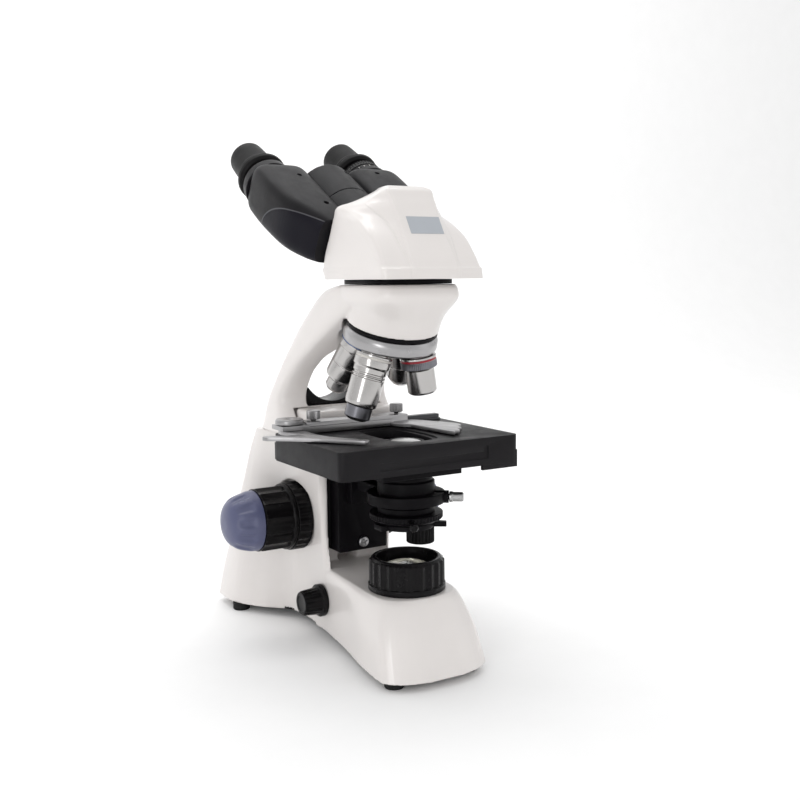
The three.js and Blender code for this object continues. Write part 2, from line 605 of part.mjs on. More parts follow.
// hinge carrier: fixed in the head, the two halves swing on its pin
function hingeAxle() {
  const hub = rod(20.2, 24, 50, 24);
  const pin = rod(5, 49, 129.6, 14);
  const cap = turned([[0, 129.2], [14, 129.2], [14.4, 130], [14, 131.6], [0, 132.2]], 20);
  const prismRoom = box(-18, 18, -60, 24, -40, 45);
  return join(cut(hub, prismRoom), rod(6, 40, 50, 14), pin, cap);
}

// one swinging half: side = -1 left, +1 right; the two hinge discs lie one behind the other
function binocularHalf(side, discFrom, discTo, otherFrom, otherTo) {
  const wing = [[50.5, 40.5, 16, -1], [60, 47, 17.8, -1], [76, 54.5, 19, -1], [100, 58, 19.2, -1],
    [122, 58.6, 19, -1],
    [130, 58, 18.2, -1], [133, 56.4, 16.8, -1]];
  const body = loft(wing.map(([z, outer, halfHeight, lift]) => {
    return atHeight(roundRing(side * (WING_INNER + outer) / 2, lift, (outer - WING_INNER) / 2,
      halfHeight, 5, 20), z);
  }));
  const disc = rod(HINGE_RADIUS, discFrom, discTo, 24);
  const bridge = box(side * 20 - 8, side * 20 + 8, -12.5, 11.5, discFrom, discTo);
  const clearance = rod(HINGE_RADIUS + 2 * GAP, otherFrom, otherTo, 24);
  const pinBore = rod(5.3, 40, 140, 14);
  const tubeBore = rod(14.4, 100, 140, 16).translate(side * EYE_X, 0, 0);
  return cut(join(body, disc, bridge), clearance, pinBore, tubeBore);
}

function eyeTube(flangeEnd) {
  return turned([[11.8, 104], [14.1, 104], [14.1, 133.3], [18.8, 133.3], [18.2, flangeEnd],
    [15, flangeEnd], [15, 146], [11.8, 146], [11.8, 104]], 16);
}

function diopterRing() {
  return cut(ribbed(17.6, 0.5, 16, 140.9, 150.6), rod(15.3, 130, 160, 16));
}

function eyepiece(lift) {
  const lens = turned([[0, 118], [11.55, 118], [11.55, 146.3], [15.6, 146.3], [15.2, 158],
    [14.2, 159.4], [13.6, 173],
    [13.1, 182.2], [9.6, 182.2], [8.6, 179], [0, 179]], 18);
  return lens.translate(0, 0, lift);
}

// ---------------------------------------------------------------- assembly
const microscope = new THREE.Group();
microscope.name = 'microscope';
microscope.position.set(0, -ORIGIN_Y, 0);

function add(name, geometry, material, parent = microscope) {
  const mesh = new THREE.Mesh(geometry, material);
  mesh.name = name;
  parent.add(mesh);
  return mesh;
}

function frameGroup(name, parent, x, y, z, rotationX = 0, rotationZ = 0) {
  const group = new THREE.Group();
  group.name = name;
  group.position.set(x, y, z);
  group.rotation.set(rotationX, 0, rotationZ);
  parent.add(group);
  return group;
}

add('base_casting', baseCasting(), WHITE_PAINT);
add('base_plate', basePlate(), STAGE_BLACK);
const FEET = [['foot_front_left', -28.4, -30], ['foot_front_right', 28.4, -30],
  ['foot_rear_left', -49.4, 172],
  ['foot_rear_right', 49.4, 172]];
for (const [name, x, y] of FEET) {
  add(name, foot(), RUBBER).position.set(x, y, 0);
}
add('arm_casting', armCasting(), WHITE_PAINT);
add('window_grip', windowGrip(), BLACK_PLASTIC);
add('power_inlet', powerInlet(), BLACK_PLASTIC);
add('power_rocker', powerRocker(), BLACK_PLASTIC).position.set(30, 193.5, 23);

const dimmer = frameGroup('dimmer', microscope, -26.6, 75, 29);
dimmer.rotation.set(0, -Math.PI / 2, 0);
add('dimmer_knob', dimmerKnob(), BLACK_PLASTIC, dimmer);
const lamp = frameGroup('lamp', microscope, 0, 0, BASE_TOP + GAP);
add('lamp_collar', lampCollar(), BLACK_PLASTIC, lamp);
add('lamp_reflector', lampReflector(), CHROME, lamp);
add('field_lens', fieldLens(), GLASS, lamp);
add('lamp_bulb', lampBulb(), ALUMINIUM, lamp);

const focus = frameGroup('focus_drive', microscope, 0, FOCUS_Y, FOCUS_Z);
focus.rotation.set(0, Math.PI / 2, 0);
add('coarse_shaft', coarseShaft(), STEEL, focus);
add('fine_shaft', fineShaft(), STEEL, focus);
for (const [side, turn] of [['right', 0], ['left', Math.PI]]) {
  const end = new THREE.Group();
  end.rotation.set(0, turn, 0);
  focus.add(end);
  add(side === 'left' ? 'tension_collar' : 'bearing_collar', focusCollar(), BLACK_PLASTIC, end);
  add(`coarse_knob_${side}`, coarseKnob(), BLACK_PLASTIC, end);
  add(`fine_knob_${side}`, fineKnob(), BLUE_PLASTIC, end);
}
add('stage_carrier', stageCarrier(), BLACK_PAINT);
add('stop_screw', stopScrew(), STEEL);

add('stage_bracket', stageBracket(), BLACK_PAINT);
add('stage_base', stageBase(), STAGE_BLACK);
add('stage_top', stageTop(), STAGE_BLACK);
add('slide_rail', slideRail(), DARK_STEEL);
add('slide_carriage', slideCarriage(), STEEL);
add('slide_finger', slideFinger(), STEEL);
add('spring_cap', springCap(), STEEL);
add('thumb_screw_left', thumbScrew(), STEEL).position.set(-41, 53.5, STAGE_TOP + 5.6);
add('thumb_screw_right', thumbScrew(), STEEL).position.set(25, 53.5, STAGE_TOP + 5.6);
const stageDrive = frameGroup('stage_drive', microscope, DRIVE_X, DRIVE_Y, 0);
add('stage_drive_shaft', stageShaft(), STEEL, stageDrive);
add('stage_y_knob', stageKnob(10.9, 5.5, 92.3, 104.6), BLACK_PLASTIC, stageDrive);
add('stage_x_knob', stageKnob(10.2, 3.3, 70, 92), BLACK_PLASTIC, stageDrive);

add('condenser_holder', condenserHolder(), BLACK_PAINT);
add('condenser_body', condenserBody(), BLACK_PAINT);
add('condenser_lens', condenserLens(), GLASS);
add('iris_ring', irisRing(), BLACK_PAINT);
add('filter_holder', filterHolder(), BLACK_PAINT);
add('condenser_clamp', condenserClamp(), STEEL);

const nose = frameGroup('nosepiece', microscope, 0, NOSE_Y, NOSE_Z, NOSE_TILT);
add('nosepiece_mount', nosepieceMount(), BLACK_PAINT, nose);
const turn = frameGroup('nosepiece_turn', nose, 0, 0, 0, 0, REST_TURN);
add('nosepiece_turret', turret(), ALUMINIUM, turn);
Object.entries(OBJECTIVES).forEach(([name, [profile, knurl]], index) => {
  const station = frameGroup(`${name}_station`, turn, 0, 0, 0, 0, index * Math.PI / 2);
  const seat = frameGroup(`${name}_seat`, station, 0, -SEAT_RADIUS, SEAT_Z, -NOSE_TILT);
  add(name, objective(profile, knurl), CHROME, seat);
});

add('head_plate', headPlate(), BLACK_PAINT);
add('head_cowl', cowl(), WHITE_PAINT);
const eyes = frameGroup('eyepiece_head', microscope, 0, 0, HEAD_Z, EYE_TILT);
add('hinge_axle', hingeAxle(), BLACK_PAINT, eyes);
add('binocular_left', binocularHalf(-1, 50.5, 90, 90.1, 134), BLACK_PAINT, eyes);
add('binocular_right', binocularHalf(1, 90.4, 129, 40, 90.3), BLACK_PAINT, eyes);
for (const [side, x, lift] of [['left', -EYE_X, 0], ['right', EYE_X, 8.5]]) {
  const barrel = frameGroup(`${side}_barrel`, eyes, x, 0, 0);
  add(`eye_tube_${side}`, eyeTube(side === 'left' ? 141.5 : 140), BLACK_PAINT, barrel);
  if (side === 'right') {
    add('diopter_ring', diopterRing(), BLACK_PLASTIC, barrel);
  }
  add(`eyepiece_${side}`, eyepiece(lift), BLACK_PLASTIC, barrel);
}

export default microscope;
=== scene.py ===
import math

import bmesh
import bpy
import numpy as np
from mathutils import Matrix, Vector


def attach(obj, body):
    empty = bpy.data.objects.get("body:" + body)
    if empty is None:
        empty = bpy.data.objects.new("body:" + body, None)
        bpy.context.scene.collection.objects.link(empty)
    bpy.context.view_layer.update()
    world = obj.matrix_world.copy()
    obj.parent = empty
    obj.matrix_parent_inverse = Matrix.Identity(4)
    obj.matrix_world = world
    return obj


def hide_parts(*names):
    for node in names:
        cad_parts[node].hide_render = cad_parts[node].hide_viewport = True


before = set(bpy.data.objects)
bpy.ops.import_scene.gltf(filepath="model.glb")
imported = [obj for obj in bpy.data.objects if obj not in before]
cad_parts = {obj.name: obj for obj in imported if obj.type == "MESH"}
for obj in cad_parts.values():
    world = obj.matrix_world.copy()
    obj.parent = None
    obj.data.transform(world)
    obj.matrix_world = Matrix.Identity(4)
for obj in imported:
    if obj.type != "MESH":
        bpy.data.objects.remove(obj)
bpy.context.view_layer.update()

# Binocular compound microscope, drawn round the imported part. Shapes are written in millimetres
# in the same frames as the part: x to the right, y to the back, z up, optical axis at x = y = 0.
MM = 0.001
scene = bpy.context.scene


# ---------------------------------------------------------------- places
def move(x=0.0, y=0.0, z=0.0):
    return Matrix.Translation((x * MM, y * MM, z * MM))


def spin(degrees, axis):
    return Matrix.Rotation(math.radians(degrees), 4, axis)


BASE_TOP = 53.4
SEAM_Z = 150.0
LEDGE_Z = 167.0
ARM_TOP = 256.0
STAGE_TOP = 156.1
STAGE_FRONT = -35.3
STAGE_BACK = 63.0
FOCUS_Y = 104.0
FOCUS_Z = 87.0
NOSE_Y = 15.67
NOSE_Z = 228.6
NOSE_TILT = 18.5
HEAD_Z = 258.3
EYE_X = 40.5
TURRET_RADIUS = 31.8
CLAMP_TURN = 52.0

STAND = move(y=-78.39)
LAMP = STAND @ move(z=BASE_TOP + 0.3)
DIMMER = STAND @ move(-26.6, 75, 29) @ spin(-90, "Y")
FOCUS = STAND @ move(y=FOCUS_Y, z=FOCUS_Z) @ spin(90, "Y")
FOCUS_END = {"right": FOCUS, "left": FOCUS @ spin(180, "Y")}
DRIVE = STAND @ move(38, 43)
NOSE = STAND @ move(y=NOSE_Y, z=NOSE_Z) @ spin(NOSE_TILT, "X")
TURRET = NOSE @ spin(35, "Z")
EYES = STAND @ move(z=HEAD_Z) @ spin(-60, "X")


def seat(index):
    return TURRET @ spin(90 * index, "Z") @ move(y=-21.4, z=-14.56) @ spin(-NOSE_TILT, "X")


# ---------------------------------------------------------------- shapes
def shape(name, points, faces, place=STAND):
    mesh = bpy.data.meshes.new(name)
    mesh.from_pydata([tuple(float(c) * MM for c in p) for p in points], [], faces)
    work = bmesh.new()
    work.from_mesh(mesh)
    bmesh.ops.remove_doubles(work, verts=work.verts, dist=1e-7)
    bmesh.ops.recalc_face_normals(work, faces=work.faces)
    work.to_mesh(mesh)
    work.free()
    obj = bpy.data.objects.new(name, mesh)
    scene.collection.objects.link(obj)
    obj.matrix_world = place
    return obj


def eased(points, radius, closed=True, steps=3):
    """The outline with each corner replaced by a small curve."""
    made = []
    count = len(points)
    for i, here in enumerate(points):
        if not closed and i in (0, count - 1):
            made.append(tuple(here))
            continue
        size = radius[i] if isinstance(radius, (list, tuple)) else radius
        p = Vector(here)
        a = Vector(points[i - 1]) - p
        b = Vector(points[(i + 1) % count]) - p
        reach = min(size, 0.45 * a.length, 0.45 * b.length)
        start, end = p + a.normalized() * reach, p + b.normalized() * reach
        for k in range(steps + 1):
            t = k / steps
            made.append(tuple((1 - t) ** 2 * start + 2 * t * (1 - t) * p + t * t * end))
    return made


def lathe(name, profile, place, segments=112, ease=0.35, closed=False, ripple=None):
    """Turned piece about its own z from [radius, z] points."""
    line = eased(profile, ease, closed)
    points, rings = [], []
    for radius, height in line:
        if radius < 1e-6:
            rings.append([len(points)] * segments)
            points.append((0, 0, height))
            continue
        rings.append(range(len(points), len(points) + segments))
        for k in range(segments):
            angle = 2 * math.pi * k / segments
            reach = ripple(radius, angle, height) if ripple else radius
            points.append((reach * math.cos(angle), reach * math.sin(angle), height))
    faces = []
    following = rings[1:] + (rings[:1] if closed else [])
    for low, high in zip(rings, following):
        for k in range(segments):
            n = (k + 1) % segments
            face = [low[k], low[n], high[n], high[k]]
            corners = list(dict.fromkeys(face))
            if len(corners) > 2:
                faces.append(corners)
    return shape(name, points, faces, place)


def skin(name, rings, place=STAND):
    """Closed surface through rings of points, bottom first."""
    count = len(rings[0])
    points = [p for ring in rings for p in ring]
    faces = [tuple(reversed(range(count)))]
    for level in range(len(rings) - 1):
        for k in range(count):
            n = (k + 1) % count
            a, b = level * count, (level + 1) * count
            faces.append((a + k, a + n, b + n, b + k))
    last = (len(rings) - 1) * count
    faces.append(tuple(range(last, last + count)))
    return shape(name, points, faces, place)


def prism(name, outline, z0, z1, place=STAND):
    rings = [[(x, y, z) for x, y in outline] for z in (z0, z1)]
    return skin(name, rings, place)


def block(name, x0, x1, y0, y1, z0, z1, place=STAND):
    return prism(name, [(x0, y0), (x1, y0), (x1, y1), (x0, y1)], z0, z1, place)


def rod(name, radius, z0, z1, place=STAND, segments=64):
    outline = [(radius * math.cos(a), radius * math.sin(a)) for a in np.linspace(0, 2 * math.pi, segments,
        endpoint=False)]
    return prism(name, outline, z0, z1, place)


def spline(rows, count):
    """Smooth curve through rows of numbers, sampled at count places."""
    rows = np.array(rows, float)
    last = len(rows) - 1
    t = np.linspace(0, last, count)
    i = np.minimum(t.astype(int), last - 1)
    f = (t - i)[:, None]
    a, b, c, d = (rows[np.clip(i + k, 0, last)] for k in (-1, 0, 1, 2))
    out, into = (c - a) / 2, (d - b) / 2
    return (2 * b - 2 * c + out + into) * f**3 + (3 * c - 3 * b - 2 * out - into) * f**2 + out * f + b


def mirrored(half):
    left = [(-x, y) for x, y in reversed(half[1:-1])]
    return list(half) + left


def smooth_outline(half, count=44):
    fine = spline(half, 600)
    run = np.concatenate([[0], np.cumsum(np.linalg.norm(np.diff(fine, axis=0), axis=1))])
    want = np.linspace(0, run[-1], count)
    points = [(np.interp(s, run, fine[:, 0]), np.interp(s, run, fine[:, 1])) for s in want]
    return mirrored(points)


def round_ring(cx, cy, half_x, half_y, power, count=72):
    def bend(v):
        return math.copysign(abs(v) ** (2 / power), v)
    return [(cx + half_x * bend(math.cos(a)), cy + half_y * bend(math.sin(a)))
        for a in np.linspace(0, 2 * math.pi, count, endpoint=False)]


def at(z, ring):
    return [(x, y, z) for x, y in ring]


def flowing(rings, count):
    """Rings made smooth and close together from a few of them."""
    rows = spline([np.array(r, float).ravel() for r in rings], count)
    return [row.reshape(-1, 3) for row in rows]


def settle(obj):
    graph = bpy.context.evaluated_depsgraph_get()
    mesh = bpy.data.meshes.new_from_object(obj.evaluated_get(graph))
    obj.modifiers.clear()
    obj.data = mesh
    return obj


def combine(body, operation, *tools):
    for tool in tools:
        step = body.modifiers.new("step", "BOOLEAN")
        step.operation = operation
        step.solver = "MANIFOLD"
        step.object = tool
    bpy.context.view_layer.update()
    settle(body)
    for tool in tools:
        bpy.data.objects.remove(tool)
    return body


def join(body, *tools):
    return combine(body, "UNION", *tools)


def cut(body, *tools):
    return combine(body, "DIFFERENCE", *tools)


def cast(obj, voxel, passes):
    """Moulded look: every edge of the piece gets a small radius."""
    grid = obj.modifiers.new("grid", "REMESH")
    grid.mode = "VOXEL"
    grid.voxel_size = voxel * MM
    ease = obj.modifiers.new("ease", "SMOOTH")
    ease.factor = 0.5
    ease.iterations = passes
    return settle(obj)


def edged(obj, width=0.35, angle=38):
    bevel = obj.modifiers.new("edge", "BEVEL")
    bevel.width = width * MM
    bevel.segments = 2
    bevel.limit_method = "ANGLE"
    bevel.angle_limit = math.radians(angle)
    bevel.use_clamp_overlap = True
    bevel.harden_normals = False
    return settle(obj)


def dress(obj, body, look, nodes=(), sharp=38):
    """Gives a finished piece its surface, its CAD nodes and the body it moves with."""
    mesh = obj.data
    if not any(mesh.materials):
        mesh.materials.clear()
        mesh.materials.append(look)
    mesh.shade_smooth()
    if sharp:
        mesh.set_sharp_from_angle(angle=math.radians(sharp))
    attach(obj, body)
    if nodes:
        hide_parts(*([nodes] if isinstance(nodes, str) else nodes))
    return obj


def fluted(count, depth, low, high, sharpness=1.0, inner=3.0, outer=1000.0):
    """Grooves along a turned piece between two heights, where its radius is between inner and outer."""
    def ripple(radius, angle, height):
        if not low <= height <= high or not inner < radius < outer:
            return radius
        wave = 0.5 - 0.5 * math.cos(count * angle)
        return radius - depth * wave**sharpness
    return ripple


# ---------------------------------------------------------------- surfaces
def node_of(tree, kind, **inputs):
    node = tree.nodes.new(kind)
    for key, value in inputs.items():
        node.inputs[key.replace("_", " ")].default_value = value
    return node


def surface(name, color, roughness, metallic=0.0, shade=0.08, spread=0.06, grain=1100.0, relief=0.04,
            coat=0.0, turned=False, specular=0.5):
    """Procedural finish: broad tone changes, uneven gloss, fine grain and, for turned metal, tool marks."""
    mat = bpy.data.materials.new(name)
    mat.use_nodes = True
    tree = mat.node_tree
    skin_node = tree.nodes["Principled BSDF"]
    for socket, value in (("Metallic", metallic), ("Coat Weight", coat), ("Coat Roughness", 0.12),
                          ("Specular IOR Level", specular)):
        skin_node.inputs[socket].default_value = value
    where = tree.nodes.new("ShaderNodeTexCoord")
    broad = node_of(tree, "ShaderNodeTexNoise", Scale=24.0, Detail=4.0, Roughness=0.6)
    tree.links.new(where.outputs["Object"], broad.inputs["Vector"])
    tone = tree.nodes.new("ShaderNodeValToRGB")
    dark = [c * (1 - shade) for c in color]
    light = [min(1.0, c * (1 + shade)) for c in color]
    tone.color_ramp.elements[0].position = 0.3
    tone.color_ramp.elements[0].color = (*dark, 1)
    tone.color_ramp.elements[1].position = 0.7
    tone.color_ramp.elements[1].color = (*light, 1)
    tree.links.new(broad.outputs["Fac"], tone.inputs["Fac"])
    tree.links.new(tone.outputs["Color"], skin_node.inputs["Base Color"])
    fine = node_of(tree, "ShaderNodeTexNoise", Scale=grain, Detail=3.0, Roughness=0.55)
    handled = node_of(tree, "ShaderNodeTexNoise", Scale=95.0, Detail=5.0, Roughness=0.65)
    tree.links.new(where.outputs["Object"], handled.inputs["Vector"])
    gloss = tree.nodes.new("ShaderNodeMapRange")
    for socket, value in (("From Min", 0.3), ("From Max", 0.7), ("To Min", max(0.02, roughness - spread)),
                          ("To Max", min(1.0, roughness + spread))):
        gloss.inputs[socket].default_value = value
    tree.links.new(handled.outputs["Fac"], gloss.inputs["Value"])
    tree.links.new(gloss.outputs["Result"], skin_node.inputs["Roughness"])
    if turned:
        stretch = tree.nodes.new("ShaderNodeMapping")
        stretch.inputs["Scale"].default_value = (0.02, 0.02, 2.4)
        tree.links.new(where.outputs["Object"], stretch.inputs["Vector"])
        tree.links.new(stretch.outputs["Vector"], fine.inputs["Vector"])
    else:
        tree.links.new(where.outputs["Object"], fine.inputs["Vector"])
    bump = tree.nodes.new("ShaderNodeBump")
    bump.inputs["Strength"].default_value = 0.6
    bump.inputs["Distance"].default_value = relief * MM
    tree.links.new(fine.outputs["Fac"], bump.inputs["Height"])
    tree.links.new(bump.outputs["Normal"], skin_node.inputs["Normal"])
    return mat


def glass(name, color, roughness):
    mat = surface(name, color, roughness, shade=0.02, spread=0.01, relief=0.002)
    skin_node = mat.node_tree.nodes["Principled BSDF"]
    skin_node.inputs["Transmission Weight"].default_value = 1.0
    skin_node.inputs["IOR"].default_value = 1.5
    return mat


PAINT = surface("white_enamel", (0.74, 0.705, 0.685), 0.36, shade=0.018, spread=0.05, grain=700,
    relief=0.03, coat=0.45)
SHELL = surface("satin_black_shell", (0.0085, 0.008, 0.0095), 0.42, shade=0.12, grain=1500, relief=0.05,
    specular=0.16)
COATED = surface("black_coated_alloy", (0.004, 0.0035, 0.0045), 0.42, shade=0.2, grain=1300, relief=0.05,
    specular=0.08)
TABLE = surface("stage_enamel", (0.008, 0.0072, 0.0085), 0.46, shade=0.15, grain=1600, relief=0.05,
    specular=0.15)
MOULDED = surface("black_moulding", (0.005, 0.0045, 0.005), 0.24, shade=0.2, grain=1200, relief=0.02,
    specular=0.12)
EYECUP = surface("eyepiece_black", (0.006, 0.0055, 0.006), 0.46, shade=0.15, grain=1500, relief=0.04,
    specular=0.12)
RUBBER = surface("foot_rubber", (0.009, 0.009, 0.009), 0.8, shade=0.2, grain=900, relief=0.08,
    specular=0.3)
BLUE = surface("slate_blue_moulding", (0.082, 0.09, 0.17), 0.36, shade=0.06, grain=1200, relief=0.03)
CHROME = surface("turned_chrome", (0.50, 0.488, 0.48), 0.2, 1.0, shade=0.03, spread=0.04, relief=0.003,
    turned=True)
KNURL = surface("dark_knurl", (0.20, 0.20, 0.22), 0.34, 1.0, shade=0.08, relief=0.01, turned=True)
SATIN = surface("satin_nickel", (0.35, 0.345, 0.35), 0.36, 1.0, shade=0.05, spread=0.08, grain=1800,
    relief=0.015)
TURNED = surface("turned_alloy", (0.39, 0.385, 0.39), 0.3, 1.0, shade=0.04, spread=0.05, relief=0.004,
    turned=True)
STEEL = surface("turned_steel", (0.42, 0.42, 0.42), 0.3, 1.0, shade=0.08, spread=0.08, relief=0.006,
    turned=True)
DARK = surface("dark_anodised", (0.05, 0.05, 0.055), 0.38, 0.6, shade=0.1, grain=1500, relief=0.02)
REFLECT = surface("lamp_reflector", (0.72, 0.67, 0.56), 0.22, 1.0, shade=0.04, spread=0.05, relief=0.03)
LENS = glass("optical_glass", (0.95, 0.97, 0.98), 0.03)
FROSTED = surface("condenser_glass", (0.50, 0.50, 0.49), 0.12, shade=0.04, spread=0.04, relief=0.004,
    coat=0.5)
COATING = surface("coated_eye_lens", (0.03, 0.02, 0.05), 0.05, shade=0.2, spread=0.02, relief=0.002,
    coat=1.0)
LABEL = surface("label_foil", (0.40, 0.425, 0.46), 0.45, shade=0.05, grain=2000, relief=0.01)
RED = surface("red_ring", (0.27, 0.008, 0.02), 0.35, shade=0.1, spread=0.05, relief=0.01)
SKY = surface("blue_ring", (0.03, 0.11, 0.32), 0.35, shade=0.1, spread=0.05, relief=0.01)
YELLOW = surface("yellow_ring", (0.55, 0.36, 0.03), 0.35, shade=0.1, spread=0.05, relief=0.01)
CREAM = surface("marking_white", (0.55, 0.53, 0.50), 0.5, shade=0.05, spread=0.05, relief=0.01)
# Painted reflection: a red-brown metallic colour that stands in for a copper-coloured reflection on the
# left eye tube.
PAINTED_REFLECTION = surface("painted_copper_reflection", (0.13, 0.065, 0.05), 0.3, 0.6, shade=0.1, spread=0.05, relief=0.005,
    turned=True)


# ---------------------------------------------------------------- base and arm castings
def base_casting():
    column = skin("base_casting_paint", flowing([at(6, smooth_outline([(0, 60), (20, 61), (23, 70),
        (22.5, 112), (26, 132), (42, 149), (55, 172), (56.5, 197), (50, 206), (0, 206.5)])),
        at(42, smooth_outline([(0, 62), (22, 63), (25.5, 70), (25.5, 106), (28, 127), (41, 146),
        (53, 162), (55, 181), (49, 190), (0, 191)])), at(87, smooth_outline([(0, 68), (25, 68),
        (28.5, 71), (29.5, 96), (31, 125), (40, 138), (50, 149), (53, 160), (48, 168), (0, 170)])),
        at(128, smooth_outline([(0, 68), (28, 68), (31.5, 71), (35, 86), (38.5, 102), (44, 118),
        (49, 130), (50.5, 141), (46, 148), (0, 150)])), at(SEAM_Z, smooth_outline([(0, 68), (30, 68),
        (33.5, 71), (37, 83), (41, 96), (45, 109), (48, 120), (49, 129), (44, 136), (0, 137)])),], 48))
    housing = skin("lamp_housing", flowing([at(6, smooth_outline([(0, -50), (14, -49.5), (29, -45),
        (39, -36.5), (40, -27), (37, 0), (30.6, 33), (25, 75), (23, 92), (0, 93)])),
        at(28, smooth_outline([(0, -42), (13, -41.2), (26, -37), (35.8, -29), (37, -19), (35.3, 3),
        (30, 33), (25, 75), (23, 92), (0, 93)])), at(42, smooth_outline([(0, -35.5), (12, -34.5),
        (23, -31), (31.5, -24), (33.6, -14), (33, 5), (29.5, 33), (25, 75), (23, 92), (0, 93)])),
        at(50, smooth_outline([(0, -31), (11, -30), (21, -27), (28.5, -20), (31, -11), (31, 5),
        (28.5, 33), (25, 75), (23, 92), (0, 93)])), at(BASE_TOP, smooth_outline([(0, -28), (10, -27.2),
        (19, -24), (26, -17.5), (28.5, -9), (28.5, 5), (26.5, 33), (24, 72), (22, 92), (0, 93)])),], 30))
    ledge = skin("ledge", [at(138, round_ring(0, 84, 34, 16, 6)), at(165, round_ring(0, 84, 34.5, 16, 6)),
        at(166.4, round_ring(0, 84, 34.1, 15.7, 6)), at(LEDGE_Z, round_ring(0, 84, 33, 14.8, 6))])
    bore = STAND @ move(y=FOCUS_Y, z=FOCUS_Z) @ spin(90, "Y")
    seat_line = [(24.3, -40.3), (33.4, -30.2), (30.4, 0), (20.3, 80), (18.3, 118), (36.4, 150),
        (49.6, 178), (49.6, 196.3)]
    seat_line += [(-x, y) for x, y in reversed(seat_line)]
    join(column, housing, ledge)
    cut(column, block("recess", -24, 24, 60, 84, 53.6, 160), block("rack_slot", -8, 8, 83, 98, 53.6, 160),
        rod("shaft_bore", 12, -60, 60, bore), rod("relief_right", 26.6, 29.6, 75, bore),
        rod("relief_left", 26.6, -75, -29.6, bore), rod("lamp_hole", 19.6, 30, 60),
        rod("dimmer_hole", 4.4, -40, 0, STAND @ move(y=75, z=29) @ spin(90, "Y")),
        prism("plate_seat", seat_line, 5, 8.1), block("inlet_hole", -14.2, 14.2, 170, 215, 12, 34.4),
        block("switch_hole", 23.7, 36.3, 170, 215, 16.4, 29.6))
    cast(column, 0.75, 5)
    return dress(column, "stand", PAINT, "base_casting", sharp=0)


def arm_casting():
    def ring(z, front, rear, half):
        return at(z, round_ring(0, (front + rear) / 2, half, (rear - front) / 2, 4.2))
    legs = skin("arm_casting_paint", flowing([ring(SEAM_Z + 0.3, 82, 137, 49), ring(160, 88, 132.5, 47.5),
        ring(172, 96, 127, 45.5), ring(184, 92, 120.5, 43.2), ring(198, 79, 113.5, 40.5),
        ring(212, 60, 105.5, 37.8), ring(226, 36, 96, 35.5), ring(238, 14, 84, 33.8),
        ring(247, 0, 73, 32.6), ring(252.5, -6, 61, 31.6), ring(ARM_TOP, -8, 42, 29.5)], 70))
    slope = math.tan(math.radians(NOSE_TILT))
    lip = [(x, y, NOSE_Z + 1.6 + slope * (y - NOSE_Y)) for x, y in round_ring(0, NOSE_Y - 0.5,
        TURRET_RADIUS - 0.6, (TURRET_RADIUS - 0.6) * 0.95, 2)]
    neck = [(x, y, 240 + 0.22 * (y - 12)) for x, y in round_ring(0, 11.5, 30, 31.6, 2.5)]
    head = skin("arm_head", flowing([lip, neck, at(246, round_ring(0, 7, 32.8, 35, 3.6)),
        at(252.5, round_ring(0, 7, 33, 35.3, 3.6)), at(ARM_TOP, round_ring(0, 7, 31.4, 33.6, 3.6))], 36))
    half = [(25, LEDGE_Z + 0.3), (25, 196), (22.5, 206), (16, 212.5), (8, 214.6)]
    window = prism("window", eased(half + [(-x, z) for x, z in reversed(half)], 3), -160, -20,
        STAND @ spin(90, "X"))
    sweep = lathe("sweep", [(0, -62), (49, -62), (37, -20), (35, -12), (32.8, -9), (32.8, 1.3), (0, 1.3)],
        NOSE, ease=1.0)
    join(legs, head)
    cut(legs, window, sweep, block("column_top", -36, 36, 60, 101, 140, LEDGE_Z + 0.3),
        rod("light_bore", 9, 205, 262))
    cast(legs, 0.75, 5)
    return dress(legs, "stand", PAINT, "arm_casting", sharp=0)


def window_grip():
    grip = block("window_grip_moulding", -24.7, 24.7, 101.4, 128, LEDGE_Z + 0.6, LEDGE_Z + 14)
    cut(grip, rod("hand", 25, -140, -90, STAND @ move(z=LEDGE_Z + 28) @ spin(90, "X"), 96))
    return dress(edged(grip, 0.6), "stand", MOULDED, "window_grip")


def feet_and_plate():
    for name, x, y in (("front_left", -28.4, -30), ("front_right", 28.4, -30), ("rear_left", -49.4, 172),
                       ("rear_right", 49.4, 172)):
        pad = lathe(f"foot_{name}_pad", [(0, 0.6), (2.4, 0.6), (2.8, 0), (6.1, 0), (6.65, 0.8), (6.5, 3),
            (6.65, 5.7), (0, 5.7)], STAND @ move(x, y), 48)
        dress(pad, "stand", RUBBER, f"foot_{name}")
    outline = [(24, -40), (33, -30), (30, 0), (20, 80), (18, 118), (36, 150), (49, 178), (49, 196)]
    outline += [(-x, y) for x, y in reversed(outline)]
    plate = prism("base_plate_sheet", eased(outline, 2.5), 6, 7.8)
    screws = [(0, -30), (-14, 70), (14, 70), (-40, 186), (40, 186)]
    cut(plate, *[rod("countersink", 2.6, 5, 6.9, STAND @ move(x, y), 24) for x, y in screws])
    dress(edged(plate, 0.3), "stand", TABLE, "base_plate")


def mains_inlet():
    shell = block("power_inlet_shell", -13.9, 13.9, 176, 194, 12.3, 34.1)
    cut(shell, prism("mouth", eased([(-10.5, 16), (10.5, 16), (10.5, 27), (7.5, 30), (-7.5, 30),
        (-10.5, 27)], 0.8), -200, -184, STAND @ spin(90, "X")))
    dress(edged(shell, 0.5), "stand", MOULDED, "power_inlet")
    for name, x, z in (("left", -5.5, 21.5), ("middle", 0, 26.5), ("right", 5.5, 21.5)):
        pin = block(f"inlet_pin_{name}", x - 1, x + 1, 183, 188.5, z - 1.5, z + 1.5)
        dress(edged(pin, 0.4), "stand", TURNED)
    side = [(-4.6, -5.4), (2.4, -5.4), (1, 0), (3.6, 5.4), (-4.6, 5.4)]
    rocker = prism("power_rocker_cap", eased(side, 0.8), -5.7, 5.7, STAND @ move(30, 193.5, 23) @ spin(90,
        "Z") @ spin(90, "X"))
    dress(edged(rocker, 0.3, 60), "rocker", MOULDED, "power_rocker")


